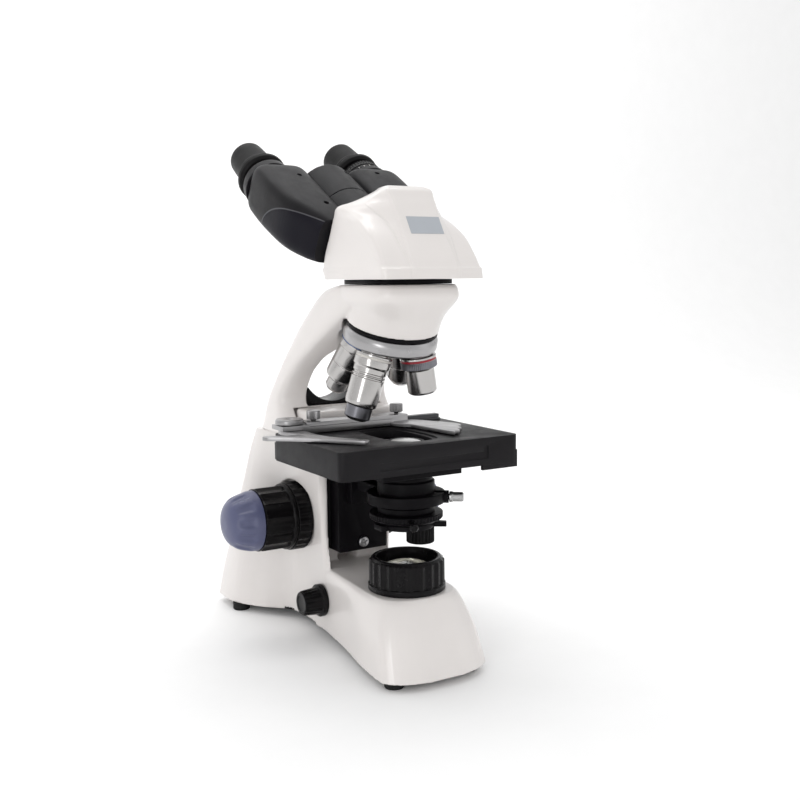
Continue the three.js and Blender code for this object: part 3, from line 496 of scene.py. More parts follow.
# ---------------------------------------------------------------- lamp and dimmer
def lamp():
    grip = fluted(22, 1.2, 4.0, 20.0, 0.7, inner=24)
    profile = [(20.4, 0), (26.1, 0), (26.1, 3.6), (25.5, 4.2), (25.4, 19.6), (23.9, 20.6), (23.0, 21.8),
        (20.4, 21.8)]
    collar = lathe("lamp_collar_grip", profile, LAMP, 264, 0.5, True, grip)
    dress(collar, "lamp_ring", MOULDED, "lamp_collar", 50)
    cone = [(6.2, -3), (7.4, -3), (17.8, 9), (19.9, 9), (19.9, 10.2), (17, 10.2), (14.5, 6.9),
        (10.5, 2.4), (6.2, -1.6)]
    dress(lathe("lamp_reflector_cone", cone, LAMP, 96, 0.2, True), "stand", REFLECT, "lamp_reflector")
    lens = [(0, 7.8), (13.6, 10.7), (19.8, 10.7), (19.8, 13), (16, 15), (9, 17.2), (0, 18)]
    smooth = [(r, z) for r, z in spline(lens[3:], 14)]
    dress(lathe("field_lens_glass", lens[:3] + smooth, LAMP, 96, 0.2), "stand", LENS, "field_lens",
        50)
    bulb = [(0, -16), (7.5, -16), (7.5, -7), (4.6, -6), (4.6, 0), (3.4, 2.6), (0, 3.6)]
    dress(lathe("lamp_bulb_body", bulb, LAMP, 48), "stand", SATIN, "lamp_bulb")


def dimmer_knob():
    grip = fluted(18, 0.9, 4.2, 16.4, inner=8, outer=9.95)
    profile = [(0, -8), (4, -8), (4, 0), (11.7, 0), (11.7, 3.2), (9.9, 4.0), (9.8, 4.1), (8.8, 15.4),
        (8.0, 16.6), (6.0, 16.6), (5.6, 16.1), (0, 16.1)]
    knob = lathe("dimmer_knob_cap", profile, DIMMER, 144, 0.3, False, grip)
    dress(knob, "dimmer", MOULDED, "dimmer_knob", 50)


# ---------------------------------------------------------------- focus drive
def focus_drive():
    ring = [(7.5, 29.9), (24.9, 29.9), (25, 30.4), (25, 40.1), (24.6, 40.6), (7.5, 40.6)]
    grip = [(7.3, 40.9), (24.0, 40.9), (24.2, 41.4), (24.2, 43.1), (23.6, 43.6), (23.2, 44.4),
        (23.2, 63.8), (22.6, 65), (7.3, 65)]
    nose = spline([(21.75, 65.5), (21.8, 66.4), (21.2, 72), (18.4, 80.5), (13.4, 85.8), (6.6, 88.2),
        (0.0, 88.6)], 42)
    cap = [(0, 65.3), (21.5, 65.3)] + [(max(0.0, r), z) for r, z in nose]

    def dimples(radius, angle, height):
        if height < 66 or radius < 4:
            return radius
        around = (11 * angle / (2 * math.pi)) % 1.0 - 0.5
        along = (height - 77.5) / 5.6
        depth = 1.5 * math.exp(-((around / 0.26) ** 4)) * math.exp(-(along**4))
        return radius - depth
    for side, place in FOCUS_END.items():
        collar = lathe(f"focus_collar_{side}", ring, place, 240, 0.4, True, fluted(24, 0.9, 30.5, 40.0,
            inner=20))
        body, node = ("tension_ring", "tension_collar") if side == "left" else ("stand", "bearing_collar")
        dress(collar, body, MOULDED, node, 45)
        coarse = lathe(f"coarse_knob_{side}_grip", grip, place, 280, 0.5, True,
            fluted(14, 1.5, 44.2, 64.6, 0.55, inner=20))
        dress(coarse, "coarse_drive", MOULDED, f"coarse_knob_{side}", 50)
        fine = lathe(f"fine_knob_{side}_cap", cap, place, 264, 0.15, False, dimples)
        dress(fine, "fine_drive", BLUE, f"fine_knob_{side}", 60)


# ---------------------------------------------------------------- stage carrier and condenser
def stage_carrier():
    body = block("stage_carrier_block", -19.5, 19.5, 60, 83.4, 66, 137)
    join(body, block("rack", -5, 5, 83, 95.2, 68, 134), block("tongue_left", -23.6, -19.2, 72, 80, 68,
        135), block("tongue_right", 19.2, 23.6, 72, 80, 68, 135))
    cut(body, rod("tapping", 2.4, 55, 66, STAND @ move(z=72) @ spin(-90, "X"), 32))
    dress(edged(body, 0.8), "carrier", COATED, "stage_carrier")
    head = [(0, 0), (2.1, 0), (2.1, 5.4), (3.9, 5.4), (3.9, 6.7), (3.3, 7.6), (0, 7.6)]
    screw = lathe("stop_screw_head", head, STAND @ move(y=65.3, z=72) @ spin(90, "X"), 48, 0.2)
    place = STAND @ move(y=65.3, z=72) @ spin(90, "X") @ spin(20, "Z")
    cut(screw, block("slot_a", -2.6, 2.6, -0.5, 0.5, 6.6, 9, place), block("slot_b", -0.5, 0.5, -2.6, 2.6,
        6.6, 9, place))
    dress(screw, "limit_screw", TURNED, "stop_screw")

    plate = block("stage_bracket_plate", -30, 30, -22, 59.7, 131.5, 136.9)
    ear = prism("drive_ear", eased([(28, 34), (47, 34), (47, 52), (28, 52)], 6), 131.5, 136.9)
    join(plate, block("hook", -19.5, 19.5, 40, 59.7, 122, 132), ear)
    cut(plate, rod("light_path", 20.6, 120, 140, segments=96), rod("drive_bore", 3.3, 120, 140, DRIVE,
        32))
    dress(edged(plate, 0.5), "carrier", COATED, "stage_bracket")
    base = block("stage_base_plate", -60, 60, -27, 27, 138.1, 147.5)
    join(base, block("pillar_left", -29, -19, -18, 22, 137.2, 140), block("pillar_right", 19, 29, -18, 22,
        137.2, 140))
    cut(base, rod("light_path", 18.4, 130, 160, segments=96))
    dress(edged(base, 0.5), "carrier", COATED, "stage_base")


def condenser():
    clamp = STAND @ move(z=115.9) @ spin(CLAMP_TURN, "Z") @ spin(90, "X")
    ring = lathe("condenser_holder_ring", [(19.5, 112.4), (26, 112.4), (26, 119.4), (19.5, 119.4)], STAND,
        120, 0.6, True)
    join(ring, block("arm", -9, 9, 22, 59.7, 112.4, 119.4), block("flange", -13, 13, 52, 59.7, 102,
        121.5), rod("boss", 4.2, 19.8, 28.5, clamp, 48))
    cut(ring, rod("bore", 19.5, 100, 130, segments=120), rod("tapping", 2.3, 15, 40, clamp, 32))
    dress(edged(ring, 0.4), "carrier", COATED, "condenser_holder")
    body = [(17, 106.2), (19.2, 106.2), (19.2, 110), (18.6, 110.4), (18.6, 111), (19.2, 111.4),
        (19.2, 127), (17.7, 128), (17.7, 141), (12.4, 153.4), (10.6, 153.4), (9.4, 136), (17, 127)]
    dress(lathe("condenser_barrel", body, STAND, 112, 0.3, True), "condenser", COATED, "condenser_body")
    dome = [(0, 136.3), (9.1, 136.3), (10.2, 153.1)] + [(float(r), float(z)) for r,
        z in spline([(10.0, 153.4), (7.5, 154.1), (4, 154.5), (0, 154.6)], 9)]
    dress(lathe("condenser_top_lens", dome, STAND, 64, 0.1), "condenser", FROSTED, "condenser_lens",
        60)
    knurl = fluted(60, 0.5, 102.6, 105.4, inner=24.45)
    profile = [(12.6, 99.4), (18.4, 99.4), (20.6, 99.9), (23.9, 101.8), (24.5, 102.5), (24.6, 105.5),
        (24.2, 105.9), (12.6, 105.9)]
    iris = lathe("iris_ring_grip", profile, STAND, 300, 0.3, True, knurl)
    place = STAND @ move(z=103.4) @ spin(math.degrees(-0.42), "Z") @ spin(90, "X")
    lever = lathe("iris_lever", [(0, 22.5), (1.6, 22.5), (1.6, 33.6), (2.3, 34.4), (2.8, 35.6),
        (2.8, 39.6), (1.8, 41), (0, 41)], place, 40, 0.5)
    dress(iris, "iris", COATED, "iris_ring")
    dress(lever, "iris", MOULDED)
    holder = lathe("filter_holder_ring", [(13, 95.6), (18.4, 95.6), (18.4, 99), (13, 99)], STAND, 96, 0.4,
        True)
    join(holder, prism("ear", eased([(-22.4, -6), (-17, -6), (-15, -3), (-15, 5), (-22.4, 5)], 1.5), 95.6,
        99), prism("tab", eased([(11.5, -10.5), (21, -17), (23, -14), (15.5, -6)], 0.8), 95.6, 99))
    cut(holder, rod("pin_hole", 1.8, 90, 101, STAND @ move(x=-19.6), 32))
    dress(edged(holder, 0.3), "filter_arm", COATED, "filter_holder")
    rod_line = [(0, 20), (2, 20), (2, 29), (3.6, 29), (3.6, 31), (3.2, 31.6), (3.2, 37.4), (2.6, 38.4),
        (0, 38.4)]
    dress(lathe("condenser_clamp_rod", rod_line, clamp, 56, 0.4), "clamp_screw", STEEL, "condenser_clamp")


# ---------------------------------------------------------------- stage and slide holder
def stage_top():
    half = 67.0
    outline = [(-half, STAGE_FRONT), (half, STAGE_FRONT), (half, STAGE_BACK), (-half, STAGE_BACK)]
    top = prism("stage_top_table", eased(outline, 5.5, steps=8), 137.8, STAGE_TOP)
    cut(top, block("hollow", -63.5, 63.5, STAGE_FRONT + 3.2, 70, 130, 148.5))
    join(top, block("rear_left", -66.2, -30, 60, 62.6, 138.2, 150), block("rear_right", 30, 66.2, 60,
        62.6, 138.2, 150), block("deep_end", 38, 66.0, STAGE_FRONT + 0.5, STAGE_FRONT + 3.1, 134.5, 146))
    cut(top, prism("aperture", round_ring(0, 10, 15, 29, 3.5), 140, 160), prism("lip",
        round_ring(0, 10, 18, 32, 3.5), STAGE_TOP - 1.2, 160), block("panel", -40, 42, STAGE_FRONT - 1,
        STAGE_FRONT + 0.7, STAGE_TOP - 14, STAGE_TOP - 9), block("panel_rise", 38, 42, STAGE_FRONT - 1,
        STAGE_FRONT + 0.7, STAGE_TOP - 10, STAGE_TOP - 5.4))
    dress(edged(top, 0.55, 32), "cross_stage", TABLE, "stage_top", 32)
    rail = block("slide_rail_bar", -30, 60, 49, 59, STAGE_TOP + 0.3, STAGE_TOP + 2.4)
    join(rail, block("ridge", -30, 60, 51, 57, STAGE_TOP + 2.2, STAGE_TOP + 5))
    dress(edged(rail, 0.4), "cross_stage", DARK, "slide_rail")


def slide_holder():
    low, pivot = STAGE_TOP + 0.9, STAND @ move(-60, 51.5)
    saddle = block("slide_carriage_plate", -50, 30, 46, 61, low, STAGE_TOP + 7.6)
    cut(saddle, block("rail_room", -70, 70, 48.7, 59.3, 0, STAGE_TOP + 5.3))
    arm = [(12.5, 46.3), (14, 40), (21, 27), (23, 8), (24.5, -6), (26.5, -19.5), (29, -15), (33, -16),
        (36, -8), (41, -6), (43, 2), (49, 6), (50, 14), (44, 28), (38, 40), (34, 46.3)]
    join(saddle, block("bar", -53.2, 16, 42.6, 46.4, low, STAGE_TOP + 5.2), block("ear", -69, -49, 42.6,
        60, STAGE_TOP + 3.6, STAGE_TOP + 6.6), prism("arm", eased(arm, 1.2), low, STAGE_TOP + 3.2))
    cut(saddle, rod("pivot", 2.6, 0, 200, pivot, 40), rod("tap_left", 1.8, 160, 200,
        STAND @ move(-41, 53.5), 32), rod("tap_right", 1.8, 160, 200, STAND @ move(25, 53.5), 32))
    dress(edged(saddle, 0.4), "slide_holder", SATIN, "slide_carriage")
    line = [(-53.6, 57), (-60, 58.5), (-67, 55), (-68.5, 47), (-66, 38), (-64, 28), (-70, 27.5),
        (-85, 36), (-88.4, 33), (-87.4, 28.5), (-74, 18), (-60, 4), (-46, -14), (-41, -20), (-37.5, -19),
        (-37.6, -15), (-44, -6), (-52, 8), (-54.5, 22), (-53.6, 40)]
    finger = prism("slide_finger_plate", eased(line, 1.6), low, STAGE_TOP + 3.2)
    cut(finger, rod("pivot", 2.6, 0, 200, pivot, 40))
    dress(edged(finger, 0.7), "spring_finger", SATIN, "slide_finger")
    cap = [(0, 0.4), (2.3, 0.4), (2.3, 7.2), (9.6, 7.2), (9.6, 9.6), (8.9, 10.6), (2.6, 10.6),
        (2.2, 10.0), (0, 10.0)]
    dress(lathe("spring_cap_disc", cap, pivot @ move(z=STAGE_TOP), 72, 0.3), "spring_finger", SATIN,
        "spring_cap")
    thumb = [(0, 0), (1.5, 0), (1.5, 2.4), (2.6, 3.1), (4.3, 3.2), (4.7, 3.6), (4.7, 8.8), (4.2, 9.2),
        (0, 9.2)]
    knurl = fluted(26, 0.4, 3.6, 8.8, inner=4.5)
    for side, x in (("left", -41), ("right", 25)):
        place = STAND @ move(x, 53.5, STAGE_TOP + 5.6)
        screw = lathe(f"thumb_screw_{side}_head", thumb, place, 156, 0.2, False, knurl)
        dress(screw, f"{side}_screw", SATIN, f"thumb_screw_{side}", 45)


def stage_drive():
    ribs = fluted(24, 0.9, 70.8, 103.8, 0.8, inner=9.6)
    upper = [(5.5, 92.3), (10.4, 92.3), (10.9, 92.8), (10.9, 104.0), (10.2, 104.6), (5.5, 104.6)]
    lower = [(3.3, 70), (9.6, 70), (10.2, 70.6), (10.2, 91.4), (9.6, 92), (3.3, 92)]
    dress(lathe("stage_y_knob_grip", upper, DRIVE, 240, 0.4, True, ribs), "y_drive", MOULDED,
        "stage_y_knob", 50)
    dress(lathe("stage_x_knob_grip", lower, DRIVE, 240, 0.4, True, ribs), "x_drive", MOULDED,
        "stage_x_knob", 50)
    shaft = [(0, 71), (3, 71), (3, 104.9), (5.2, 104.9), (5.2, 131.2), (3, 131.2), (3, 137.4), (0, 137.4)]
    dress(lathe("stage_drive_rod", shaft, DRIVE, 56, 0.4), "x_drive", STEEL, "stage_drive_shaft")


# ---------------------------------------------------------------- nosepiece and objectives
def painted_band(obj, look, low, high):
    """Faces between two heights of a turned piece take a second surface."""
    mesh = obj.data
    mesh.materials.append(look)
    index = len(mesh.materials) - 1
    for face in mesh.polygons:
        if low * MM < face.center.z < high * MM:
            face.material_index = index
    return obj


def nosepiece():
    dress(lathe("nosepiece_mount_ring", [(11, -1.2), (30.8, -1.2), (30.8, 1.1), (11, 1.1)], NOSE, 120,
        0.2, True), "stand", COATED, "nosepiece_mount")
    cone = math.tan(math.radians(NOSE_TILT))
    rim = -14.56 + (TURRET_RADIUS - 21.4) * cone
    inner = -14.56 - (21.4 - 8) * cone
    body = [(0, inner), (8, inner), (TURRET_RADIUS - 0.8, rim - 0.2), (TURRET_RADIUS, rim + 0.8),
        (TURRET_RADIUS, -5.6), (TURRET_RADIUS - 0.3, -4.2), (TURRET_RADIUS - 1.6, -2.0),
        (TURRET_RADIUS - 2.6, -1.5), (0, -1.5)]
    turret = lathe("nosepiece_turret_shell", body, TURRET, 144, 0.8)
    cut(turret, *[rod("bore", 9.8, -8, 26, seat(i), 64) for i in range(4)])
    dress(turret, "nosepiece", TURNED, "nosepiece_turret", 35)
    shoulder = [(12.2, -8), (12.2, -3.4), (11.9, -3.2), (11.9, -2.0), (12.2, -1.8), (12.2, -0.5),
        (9.3, -0.5), (9.3, 3.6), (0, 3.6)]
    barrels = {"objective_4x": (RED, [(0, -25.4), (5.2, -25.4), (5.2, -26), (8.4, -26), (9.8, -24.6),
        (9.8, -9.4), (11.2, -8.4)]), "objective_10x": (YELLOW, [(0, -35.6), (3.8, -35.6), (3.8, -36.2),
        (7.4, -36.2), (9.4, -33), (10.4, -31), (10.4, -20), (10.1, -19.8), (10.1, -18.4), (10.4, -18.2),
        (10.4, -9.4), (11.4, -8.4)]), "objective_40x": (SKY, [(0, -44), (2.4, -44), (2.4, -44.4),
        (6, -44.4), (7.6, -42), (7.6, -36), (10.6, -33.4), (11, -32), (11, -22), (10.6, -21.8),
        (10.6, -20.6), (11, -20.4), (11, -9.4), (11.6, -8.4)]), "objective_100x": (CREAM,
        [(0, -44.6), (1.8, -44.6), (1.8, -45), (5.6, -45), (8.6, -43), (8.8, -35.5), (10.4, -34.4),
        (10.8, -32), (11.1, -16.4), (10.3, -16.2), (10.3, -15.2), (11.1, -15.0), (11.1, -14.2),
        (10.3, -14.0), (10.3, -12.8), (11.2, -12.6), (11.2, -9.4), (11.8, -8.4)]),}
    short = ("objective_4x", "objective_10x")
    knurl = fluted(60, 0.28, -8.1, -3.5, inner=12.05)
    for index, (name, (band, profile)) in enumerate(barrels.items()):
        barrel = lathe(f"{name}_barrel", profile + shoulder, seat(index), 240, 0.3, False,
            knurl if name in short else None)
        barrel.data.materials.append(CHROME)
        painted_band(barrel, band, -3.3, -1.9)
        if name in short:
            painted_band(barrel, KNURL, -8.1, -3.5)
        if name == "objective_100x":
            painted_band(barrel, KNURL, -43.2, -35.4)
        dress(barrel, "nosepiece", CHROME, name, 45)


# ---------------------------------------------------------------- head
# Half outlines of the white cowl from the bottom up. The front panel, the band beside it and the curved
# band after that each stand a little proud of the next one out.
COWL = [(259.5, [(0, -40), (16, -40), (16.8, -39.8), (18, -39.7), (18.6, -39.5), (34.6, -38.6),
    (36.6, -37), (37, -34), (37, 0), (37, 40), (33.6, 45.4), (0, 46)]), (266, [(0, -39.5), (16, -39.5),
    (17, -39), (18, -38.9), (18.8, -38.4), (34.6, -37.4), (36.6, -35.8), (37, -33), (37, 0), (37, 44),
    (33.6, 49.4), (0, 50)]), (267, [(0, -38.6), (16, -38.6), (17.2, -37.9), (18, -37.8), (18.9, -37.1),
    (34.2, -36), (36.2, -34.2), (36.7, -31), (36.7, 0), (36.6, 43.4), (33.2, 48.9), (0, 49.5)]),
    (276, [(0, -33.5), (15.6, -33.5), (17.1, -32.4), (18.6, -32.2), (19.8, -31), (33.6, -30), (35.8, -28),
    (36.6, -23), (36.6, 5), (36.3, 41), (33, 46.4), (0, 47)]), (287, [(0, -26.5), (15, -26.5),
    (16.6, -25), (20.2, -24), (21.4, -22.4), (33.2, -20.4), (35.4, -17.6), (36.3, -10), (36.4, 10),
    (36, 35), (33, 40.2), (0, 41)]), (296, [(0, -21), (15, -21), (16.5, -19.2), (21.6, -14.8),
    (22.6, -12.8), (32, -6.6), (34.2, -3), (35.8, 5), (36, 14), (35.8, 30), (33.6, 35.2), (0, 36)]),
    (301, [(0, -18), (15.2, -18), (16.7, -16), (23.6, -7.8), (24.4, -5.6), (31.6, 5), (33.4, 9), (35, 15),
    (35.6, 20), (35.6, 27.4), (33.6, 32.4), (0, 33)]), (304.5, [(0, -15.8), (15.4, -15.8), (16.8, -13.9),
    (25.2, -2), (25.8, 0), (31.6, 13), (32.8, 15.6), (34, 18.6), (35, 22), (35.2, 26.6), (33.6, 30.6),
    (0, 31.2)]), (307, [(0, -14.3), (15.5, -14.3), (16.8, -12.5), (25.4, 3), (25.8, 4.6), (29.6, 15.6),
    (30.6, 17.4), (31.6, 19.6), (32.6, 22), (32.8, 25.4), (31.4, 29), (0, 29.8)]),
    (309, [(0, -13), (15.6, -13), (16.8, -11.2), (23.6, 5), (23.9, 6.2), (25.4, 15), (25.8, 16.2),
    (26.2, 18), (26.6, 20), (26.4, 23.6), (25, 27.2), (0, 28.4)]), (311.5, [(0, -11.4), (15.8, -11.4),
    (16.8, -9.8), (20.2, 3), (20.4, 4), (21, 12), (21.1, 13), (21.1, 15), (21, 17), (20.4, 21.4),
    (18.6, 25.6), (0, 26.6)]), (316, [(0, -8.5), (16, -8.5), (16.7, -7.2), (16.4, -2), (16.2, -0.8),
    (14.9, 6), (14.7, 7), (14, 10), (13.2, 13), (11.6, 19), (9.6, 23.2), (0, 24.2)]),
    (318.5, [(0, -4), (12.6, -4), (13.2, -3.2), (13.2, -0.4), (13, 0.4), (12.2, 4), (12, 5), (11.2, 8),
    (10.2, 11), (8.6, 16.6), (6.6, 20.2), (0, 21.2)]),]
COWL_EASE = [4, 0.8, 0.7, 0.8, 0.7, 1.6, 1.6, 3.0, 4, 5, 5]


def head():
    ease = COWL_EASE + [6] + COWL_EASE[:0:-1]
    rings = [at(z, eased(mirrored(half), ease, steps=4)) for z, half in COWL]
    shell = skin("head_cowl_paint", rings[:2] + [list(r) for r in flowing(rings[2:], 60)])
    hollow = skin("hollow", flowing([at(259, round_ring(0, 3, 33.4, 37, 5)), at(266,
        round_ring(0, 5, 33.2, 36.5, 5)), at(284, round_ring(0, 7.5, 30, 28, 4)),
        at(303, round_ring(0, 8.5, 23, 16, 3.5)), at(312, round_ring(0, 8.5, 14, 9, 3))], 20))
    mouth = rod("mouth", 20.6, 0, 70, EYES, 96)
    cut(mouth, block("below", -60, 60, -60, 70, 190, 259.5))
    cut(shell, hollow, mouth)
    dress(edged(shell, 0.5, 55), "head", PAINT, "head_cowl", 28)

    fronts = [(z, half[0][1]) for z, half in COWL[2:]]
    heights = np.linspace(287.6, 298.4, 8)
    curve = spline(fronts, 200)
    grid, faces, columns = [], [], (-10.2, 14.2)
    for z in heights:
        y = float(np.interp(z, curve[:, 0], curve[:, 1]))
        grid += [(x, y - 0.12, z) for x in columns]
    for k in range(len(heights) - 1):
        faces.append((2 * k, 2 * k + 1, 2 * k + 3, 2 * k + 2))
    label = shape("blank_label", grid, faces)
    thick = label.modifiers.new("thick", "SOLIDIFY")
    thick.thickness = 0.16 * MM
    thick.offset = 0
    dress(settle(label), "head", LABEL)

    plate = prism("head_plate_ring", round_ring(0, 8, 30.6, 31.4, 3.6, 96), ARM_TOP + 0.3, ARM_TOP + 3.2)
    join(plate, rod("spigot", 20, ARM_TOP + 3, ARM_TOP + 7))
    cut(plate, rod("light_path", 9, 240, 280))
    dress(edged(plate, 0.3), "head", COATED, "head_plate")
    axle = lathe("hinge_axle_pin", [(0, 30), (20.2, 30), (20.2, 50), (5, 50), (5, 129.2), (14, 129.2),
        (14.4, 130), (14, 131.4), (12.6, 131.4), (12.2, 131.0), (9, 131.0), (8.6, 131.9), (0, 132.2)],
        EYES, 112, 0.2)
    cut(axle, block("prism_room", -18, 18, -60, 24, -40, 45, EYES))
    dress(axle, "head", SHELL, "hinge_axle")


def side_panel_look():
    """Satin shell with a darker oval panel let into the outer side of each swinging half."""
    mat = surface("shell_with_side_panel", (0.0085, 0.008, 0.0095), 0.42, shade=0.12, grain=1500,
        relief=0.05, specular=0.16)
    tree = mat.node_tree
    shade = tree.nodes["Principled BSDF"]
    where = next(n for n in tree.nodes if n.bl_idname == "ShaderNodeTexCoord")
    split = tree.nodes.new("ShaderNodeSeparateXYZ")
    tree.links.new(where.outputs["Object"], split.inputs["Vector"])

    def math_node(operation, a, b=None):
        node = tree.nodes.new("ShaderNodeMath")
        node.operation = operation
        for slot_index, value in enumerate((a, b)):
            if value is None:
                continue
            if isinstance(value, (int, float)):
                node.inputs[slot_index].default_value = value
            else:
                tree.links.new(value, node.inputs[slot_index])
        return node.outputs["Value"]
    centre_z, centre_y, reach_z, reach_y = 0.050, 0.017, 0.053, 0.0325
    along = math_node("DIVIDE", math_node("SUBTRACT", split.outputs["Z"], centre_z), reach_z)
    across = math_node("DIVIDE", math_node("SUBTRACT", split.outputs["Y"], centre_y), reach_y)
    oval = math_node("ADD", math_node("POWER", math_node("ABSOLUTE", along), 2.0),
        math_node("POWER", math_node("ABSOLUTE", across), 2.0))
    inside = tree.nodes.new("ShaderNodeMapRange")
    inside.inputs["From Min"].default_value = 1.0
    inside.inputs["From Max"].default_value = 0.975
    tree.links.new(oval, inside.inputs["Value"])
    facing = tree.nodes.new("ShaderNodeSeparateXYZ")
    tree.links.new(where.outputs["Normal"], facing.inputs["Vector"])
    outward = math_node("MULTIPLY", math_node("SIGN", split.outputs["X"]), facing.outputs["X"])
    flat = tree.nodes.new("ShaderNodeMapRange")
    flat.inputs["From Min"].default_value = 0.45
    flat.inputs["From Max"].default_value = 0.62
    tree.links.new(outward, flat.inputs["Value"])
    mask = math_node("MULTIPLY", inside.outputs["Result"], flat.outputs["Result"])
    mix = tree.nodes.new("ShaderNodeMix")
    mix.data_type = "RGBA"
    old = shade.inputs["Base Color"].links[0].from_socket
    tree.links.new(mask, mix.inputs["Factor"])
    tree.links.new(old, mix.inputs["A"])
    mix.inputs["B"].default_value = (0.003, 0.0025, 0.007, 1)
    # Painted highlight: a lighter grey ring is mixed into the colour all along the panel's edge, standing
    # in for light caught by the raised lip.
    near_edge = math_node("SUBTRACT", 1.0, math_node("MULTIPLY", math_node("ABSOLUTE",
        math_node("SUBTRACT", oval, 1.01)), 28.0))
    rim_highlight_mask = math_node("MULTIPLY", math_node("MAXIMUM", near_edge, 0.0), flat.outputs["Result"])
    # This mix node lays the painted highlight colour (0.10 grey) onto the rim.
    lip = tree.nodes.new("ShaderNodeMix")
    lip.data_type = "RGBA"
    lip.inputs["B"].default_value = (0.10, 0.10, 0.11, 1)
    tree.links.new(rim_highlight_mask, lip.inputs["Factor"])
    tree.links.new(mix.outputs["Result"], lip.inputs["A"])
    tree.links.new(lip.outputs["Result"], shade.inputs["Base Color"])
    bump = next(n for n in tree.nodes if n.bl_idname == "ShaderNodeBump")
    step = tree.nodes.new("ShaderNodeBump")
    step.inputs["Strength"].default_value = 1.0
    step.inputs["Distance"].default_value = 0.4 * MM
    step.invert = True
    tree.links.new(mask, step.inputs["Height"])
    tree.links.new(bump.outputs["Normal"], step.inputs["Normal"])
    tree.links.new(step.outputs["Normal"], shade.inputs["Normal"])
    return mat


def binocular_half(side, disc, other, look, recesses):
    sign = -1 if side == "left" else 1
    inner = 17.4
    wing = [(50.5, 40.5, 16, -1), (60, 47, 17.8, -1), (76, 54.5, 19, -1), (100, 58, 19.2, -1),
        (122, 58.6, 19, -1), (130, 58, 18.2, -1), (133, 56.4, 16.8, -1)]
    rings = [at(z, round_ring(sign * (inner + outer) / 2, lift, (outer - inner) / 2, half, 4.4, 96))
        for z, outer, half, lift in wing]
    body = skin(f"binocular_{side}_shell", flowing(rings, 44), EYES)
    join(body, rod("disc", 22, *disc, EYES, 112), block("bridge", sign * 20 - 8, sign * 20 + 8, -12.5,
        11.5, *disc, EYES))
    cut(body, rod("clearance", 22.6, *other, EYES, 112), rod("pin_bore", 5.3, 40, 140, EYES),
        rod("tube_bore", 14.4, 100, 140, EYES @ move(x=sign * EYE_X)))
    cast(body, 0.5, 3)
    cut(body, *[rod("recess", 1.9, -30, top + 2.4, EYES @ move(x, 0, z) @ spin(90, "X"), 32) for x, top,
        z in recesses])
    dress(body, f"{side}_half", look, f"binocular_{side}", 50)


def eyepieces():
    look = side_panel_look()
    binocular_half("left", (50.5, 90), (90.1, 134), look, [(-31, 19.6, 113), (-29, 18.6, 71)])
    binocular_half("right", (90.4, 129), (40, 90.3), look, [(36, 20, 122), (10, 19.6, 121)])
    for side, sign, flange, lift in (("left", -1, 141.5, 0), ("right", 1, 140, 8.5)):
        place = EYES @ move(x=sign * EYE_X)
        tube = [(11.8, 104), (14.1, 104), (14.1, 133.3), (18.8, 133.3), (18.8, 134.6),
            (18.2, flange - 0.6), (17.6, flange), (15, flange), (15, 146), (11.8, 146)]
        sleeve = lathe(f"eye_tube_{side}_sleeve", tube, place, 112, 0.4, True)
        sleeve.data.materials.append(SHELL)
        if side == "left":
            # The band above the flange is a painted reflection in red-brown.
            painted_band(sleeve, PAINTED_REFLECTION, flange + 0.3, 146.5)
        dress(sleeve, f"{side}_half", SHELL, f"eye_tube_{side}", 35)
        if side == "right":
            line = [(15.3, 140.9), (16.6, 140.9), (17.0, 141.3), (17.1, 144.0), (17.6, 144.5),
                (17.6, 150.1), (17.2, 150.6), (15.3, 150.6)]
            ring = lathe("diopter_ring_grip", line, place, 240, 0.25, True, fluted(48, 0.5, 144.6, 150.0,
                inner=17.3))
            dress(ring, "diopter", MOULDED, "diopter_ring", 40)
            for number in range(9):
                angle = math.radians(-150 + number * 15)
                tall = 2.0 if number % 4 == 0 else 1.3
                tick = place @ spin(math.degrees(angle), "Z")
                mark = block(f"diopter_mark_{number}", 16.9, 17.2, -0.22, 0.22, 141.6, 141.6 + tall, tick)
                dress(mark, "diopter", CREAM)
        line = [(0, 118), (11.55, 118), (11.55, 146.3), (16.4, 146.3), (18.2, 148.2), (18.4, 151.2),
            (17.4, 152.4), (15.4, 153.0), (15.2, 153.6), (15.1, 158), (14.2, 159.4), (13.9, 166),
            (13.6, 173), (13.4, 177.6), (13.1, 181.4), (12.3, 182.2), (10.4, 182.2), (9.4, 181.2),
            (8.7, 179.2), (8.6, 179.0), (0, 178.6)]
        cup = lathe(f"eyepiece_{side}_cup", [(r, z + lift) for r, z in line], place, 128, 0.35)
        cup.data.materials.append(EYECUP)
        cup.data.materials.append(COATING)
        for face in cup.data.polygons:
            reach = math.hypot(face.center.x, face.center.y)
            if reach < 8.4 * MM and face.center.z > 150 * MM:
                face.material_index = 1
        body = "left_eyepiece" if side == "left" else "right_eyepiece"
        dress(cup, body, EYECUP, f"eyepiece_{side}", 40)
        if side == "right":
            band = lathe("eyepiece_mark_band", [(13.42, 173.4 + lift), (13.52, 173.4 + lift),
                (13.52, 174.1 + lift), (13.42, 174.1 + lift)], place, 128, 0.0, True)
            dress(band, body, CREAM)
            collar = lathe("eyepiece_silver_ring", [(15.5, 151.0), (15.75, 151.0), (15.75, 152.2),
                (15.5, 152.2)], place, 112, 0.0, True)
            dress(collar, "right_eyepiece", SATIN)


def carried_over():
    """CAD nodes that stay in view as they are, mostly inside the others."""
    for node, look, slot_name in (("fine_shaft", STEEL, "brushed_steel"),
                                  ("coarse_shaft", STEEL, "brushed_steel")):
        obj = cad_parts[node]
        obj.data.materials.clear()
        obj.data.materials.append(look)


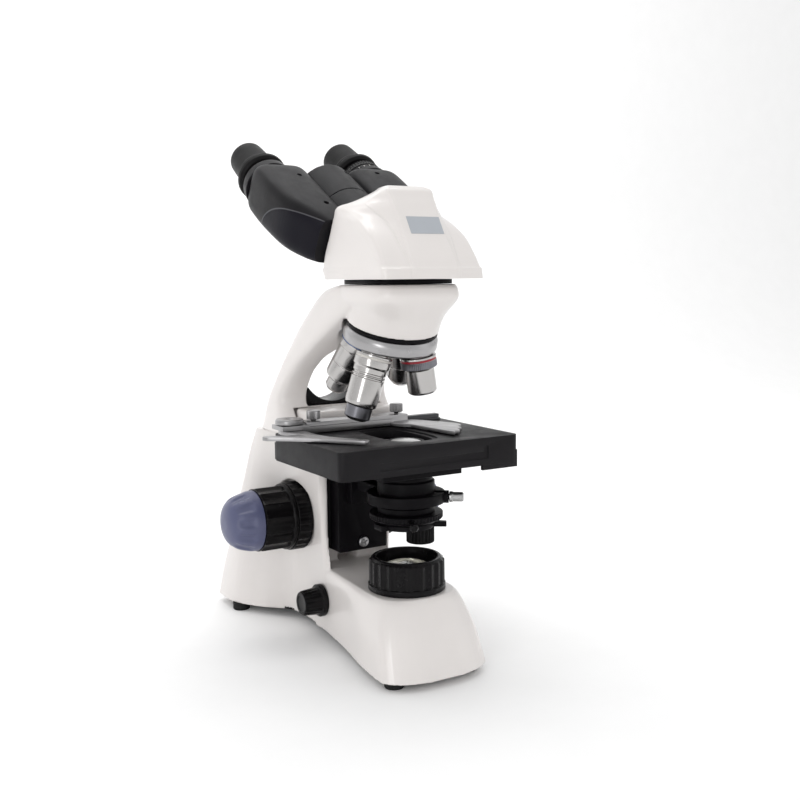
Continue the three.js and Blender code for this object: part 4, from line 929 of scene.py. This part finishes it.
# ---------------------------------------------------------------- room
def room():
    mat = surface("pale_floor", (0.97, 0.97, 0.97), 0.75, shade=0.01, spread=0.03, grain=300, relief=0.02)
    size, bend = 2600, 500
    rows = [(-size, 0.0), (700.0, 0.0)]
    rows += [(700 + bend * math.sin(a), bend - bend * math.cos(a)) for a in np.linspace(0.15, math.pi / 2,
        14)]
    rows += [(700.0 + bend, 2400.0)]
    points = [(x, y, z) for y, z in rows for x in (-size, size)]
    faces = [(2 * k, 2 * k + 1, 2 * k + 3, 2 * k + 2) for k in range(len(rows) - 1)]
    floor = shape("studio_floor", points, faces, Matrix.Identity(4))
    floor.data.materials.append(mat)
    floor.data.shade_smooth()

    world = bpy.data.worlds.new("studio")
    world.use_nodes = True
    world.node_tree.nodes["Background"].inputs["Color"].default_value = (1.0, 1.0, 1.0, 1)
    world.node_tree.nodes["Background"].inputs["Strength"].default_value = 0.83
    scene.world = world
    scene.view_settings.view_transform = "Standard"

    def lamp_panel(name, power, size_m, place, target):
        data = bpy.data.lights.new(name, "AREA")
        data.energy = power
        data.shape = "RECTANGLE"
        data.size, data.size_y = size_m
        obj = bpy.data.objects.new(name, data)
        scene.collection.objects.link(obj)
        obj.location = place
        obj.rotation_mode = "QUATERNION"
        obj.rotation_quaternion = (Vector(target) - Vector(place)).to_track_quat("-Z", "Y")
    middle = (0.0, 0.0, 0.18)
    lamp_panel("key_panel", 3.6, (0.3, 0.8), (-1.2, -0.95, 0.35), middle)
    lamp_panel("fill_panel", 0.7, (0.6, 1.0), (1.1, -0.7, 0.5), middle)
    lamp_panel("top_panel", 1.6, (1.0, 1.0), (0.0, 0.1, 1.3), middle)
    lamp_panel("backdrop_panel", 9.0, (1.6, 0.5), (0.0, 0.45, 1.5), (0.3, 1.25, 0.5))


def camera():
    data = bpy.data.cameras.new("camera")
    data.sensor_width = 36.0
    data.lens = 46.85
    data.clip_start, data.clip_end = 0.02, 20.0
    obj = bpy.data.objects.new("camera", data)
    scene.collection.objects.link(obj)
    turn, tilt, roll = math.radians(-31.054), math.radians(6.9), math.radians(-0.569)
    back = Vector((math.sin(turn) * math.cos(tilt), -math.cos(turn) * math.cos(tilt), math.sin(tilt)))
    right = Vector((math.cos(turn), math.sin(turn), 0))
    up = back.cross(right)
    right, up = (math.cos(roll) * right + math.sin(roll) * up,
        -math.sin(roll) * right + math.cos(roll) * up)
    pose = Matrix((right, up, back)).transposed().to_4x4()
    pose.translation = (-0.35411, -0.65995, 0.26268)
    obj.matrix_world = pose
    scene.camera = obj


base_casting()
arm_casting()
window_grip()
feet_and_plate()
mains_inlet()
lamp()
dimmer_knob()
focus_drive()
stage_carrier()
condenser()
stage_top()
slide_holder()
stage_drive()
nosepiece()
head()
eyepieces()
carried_over()
room()
camera()
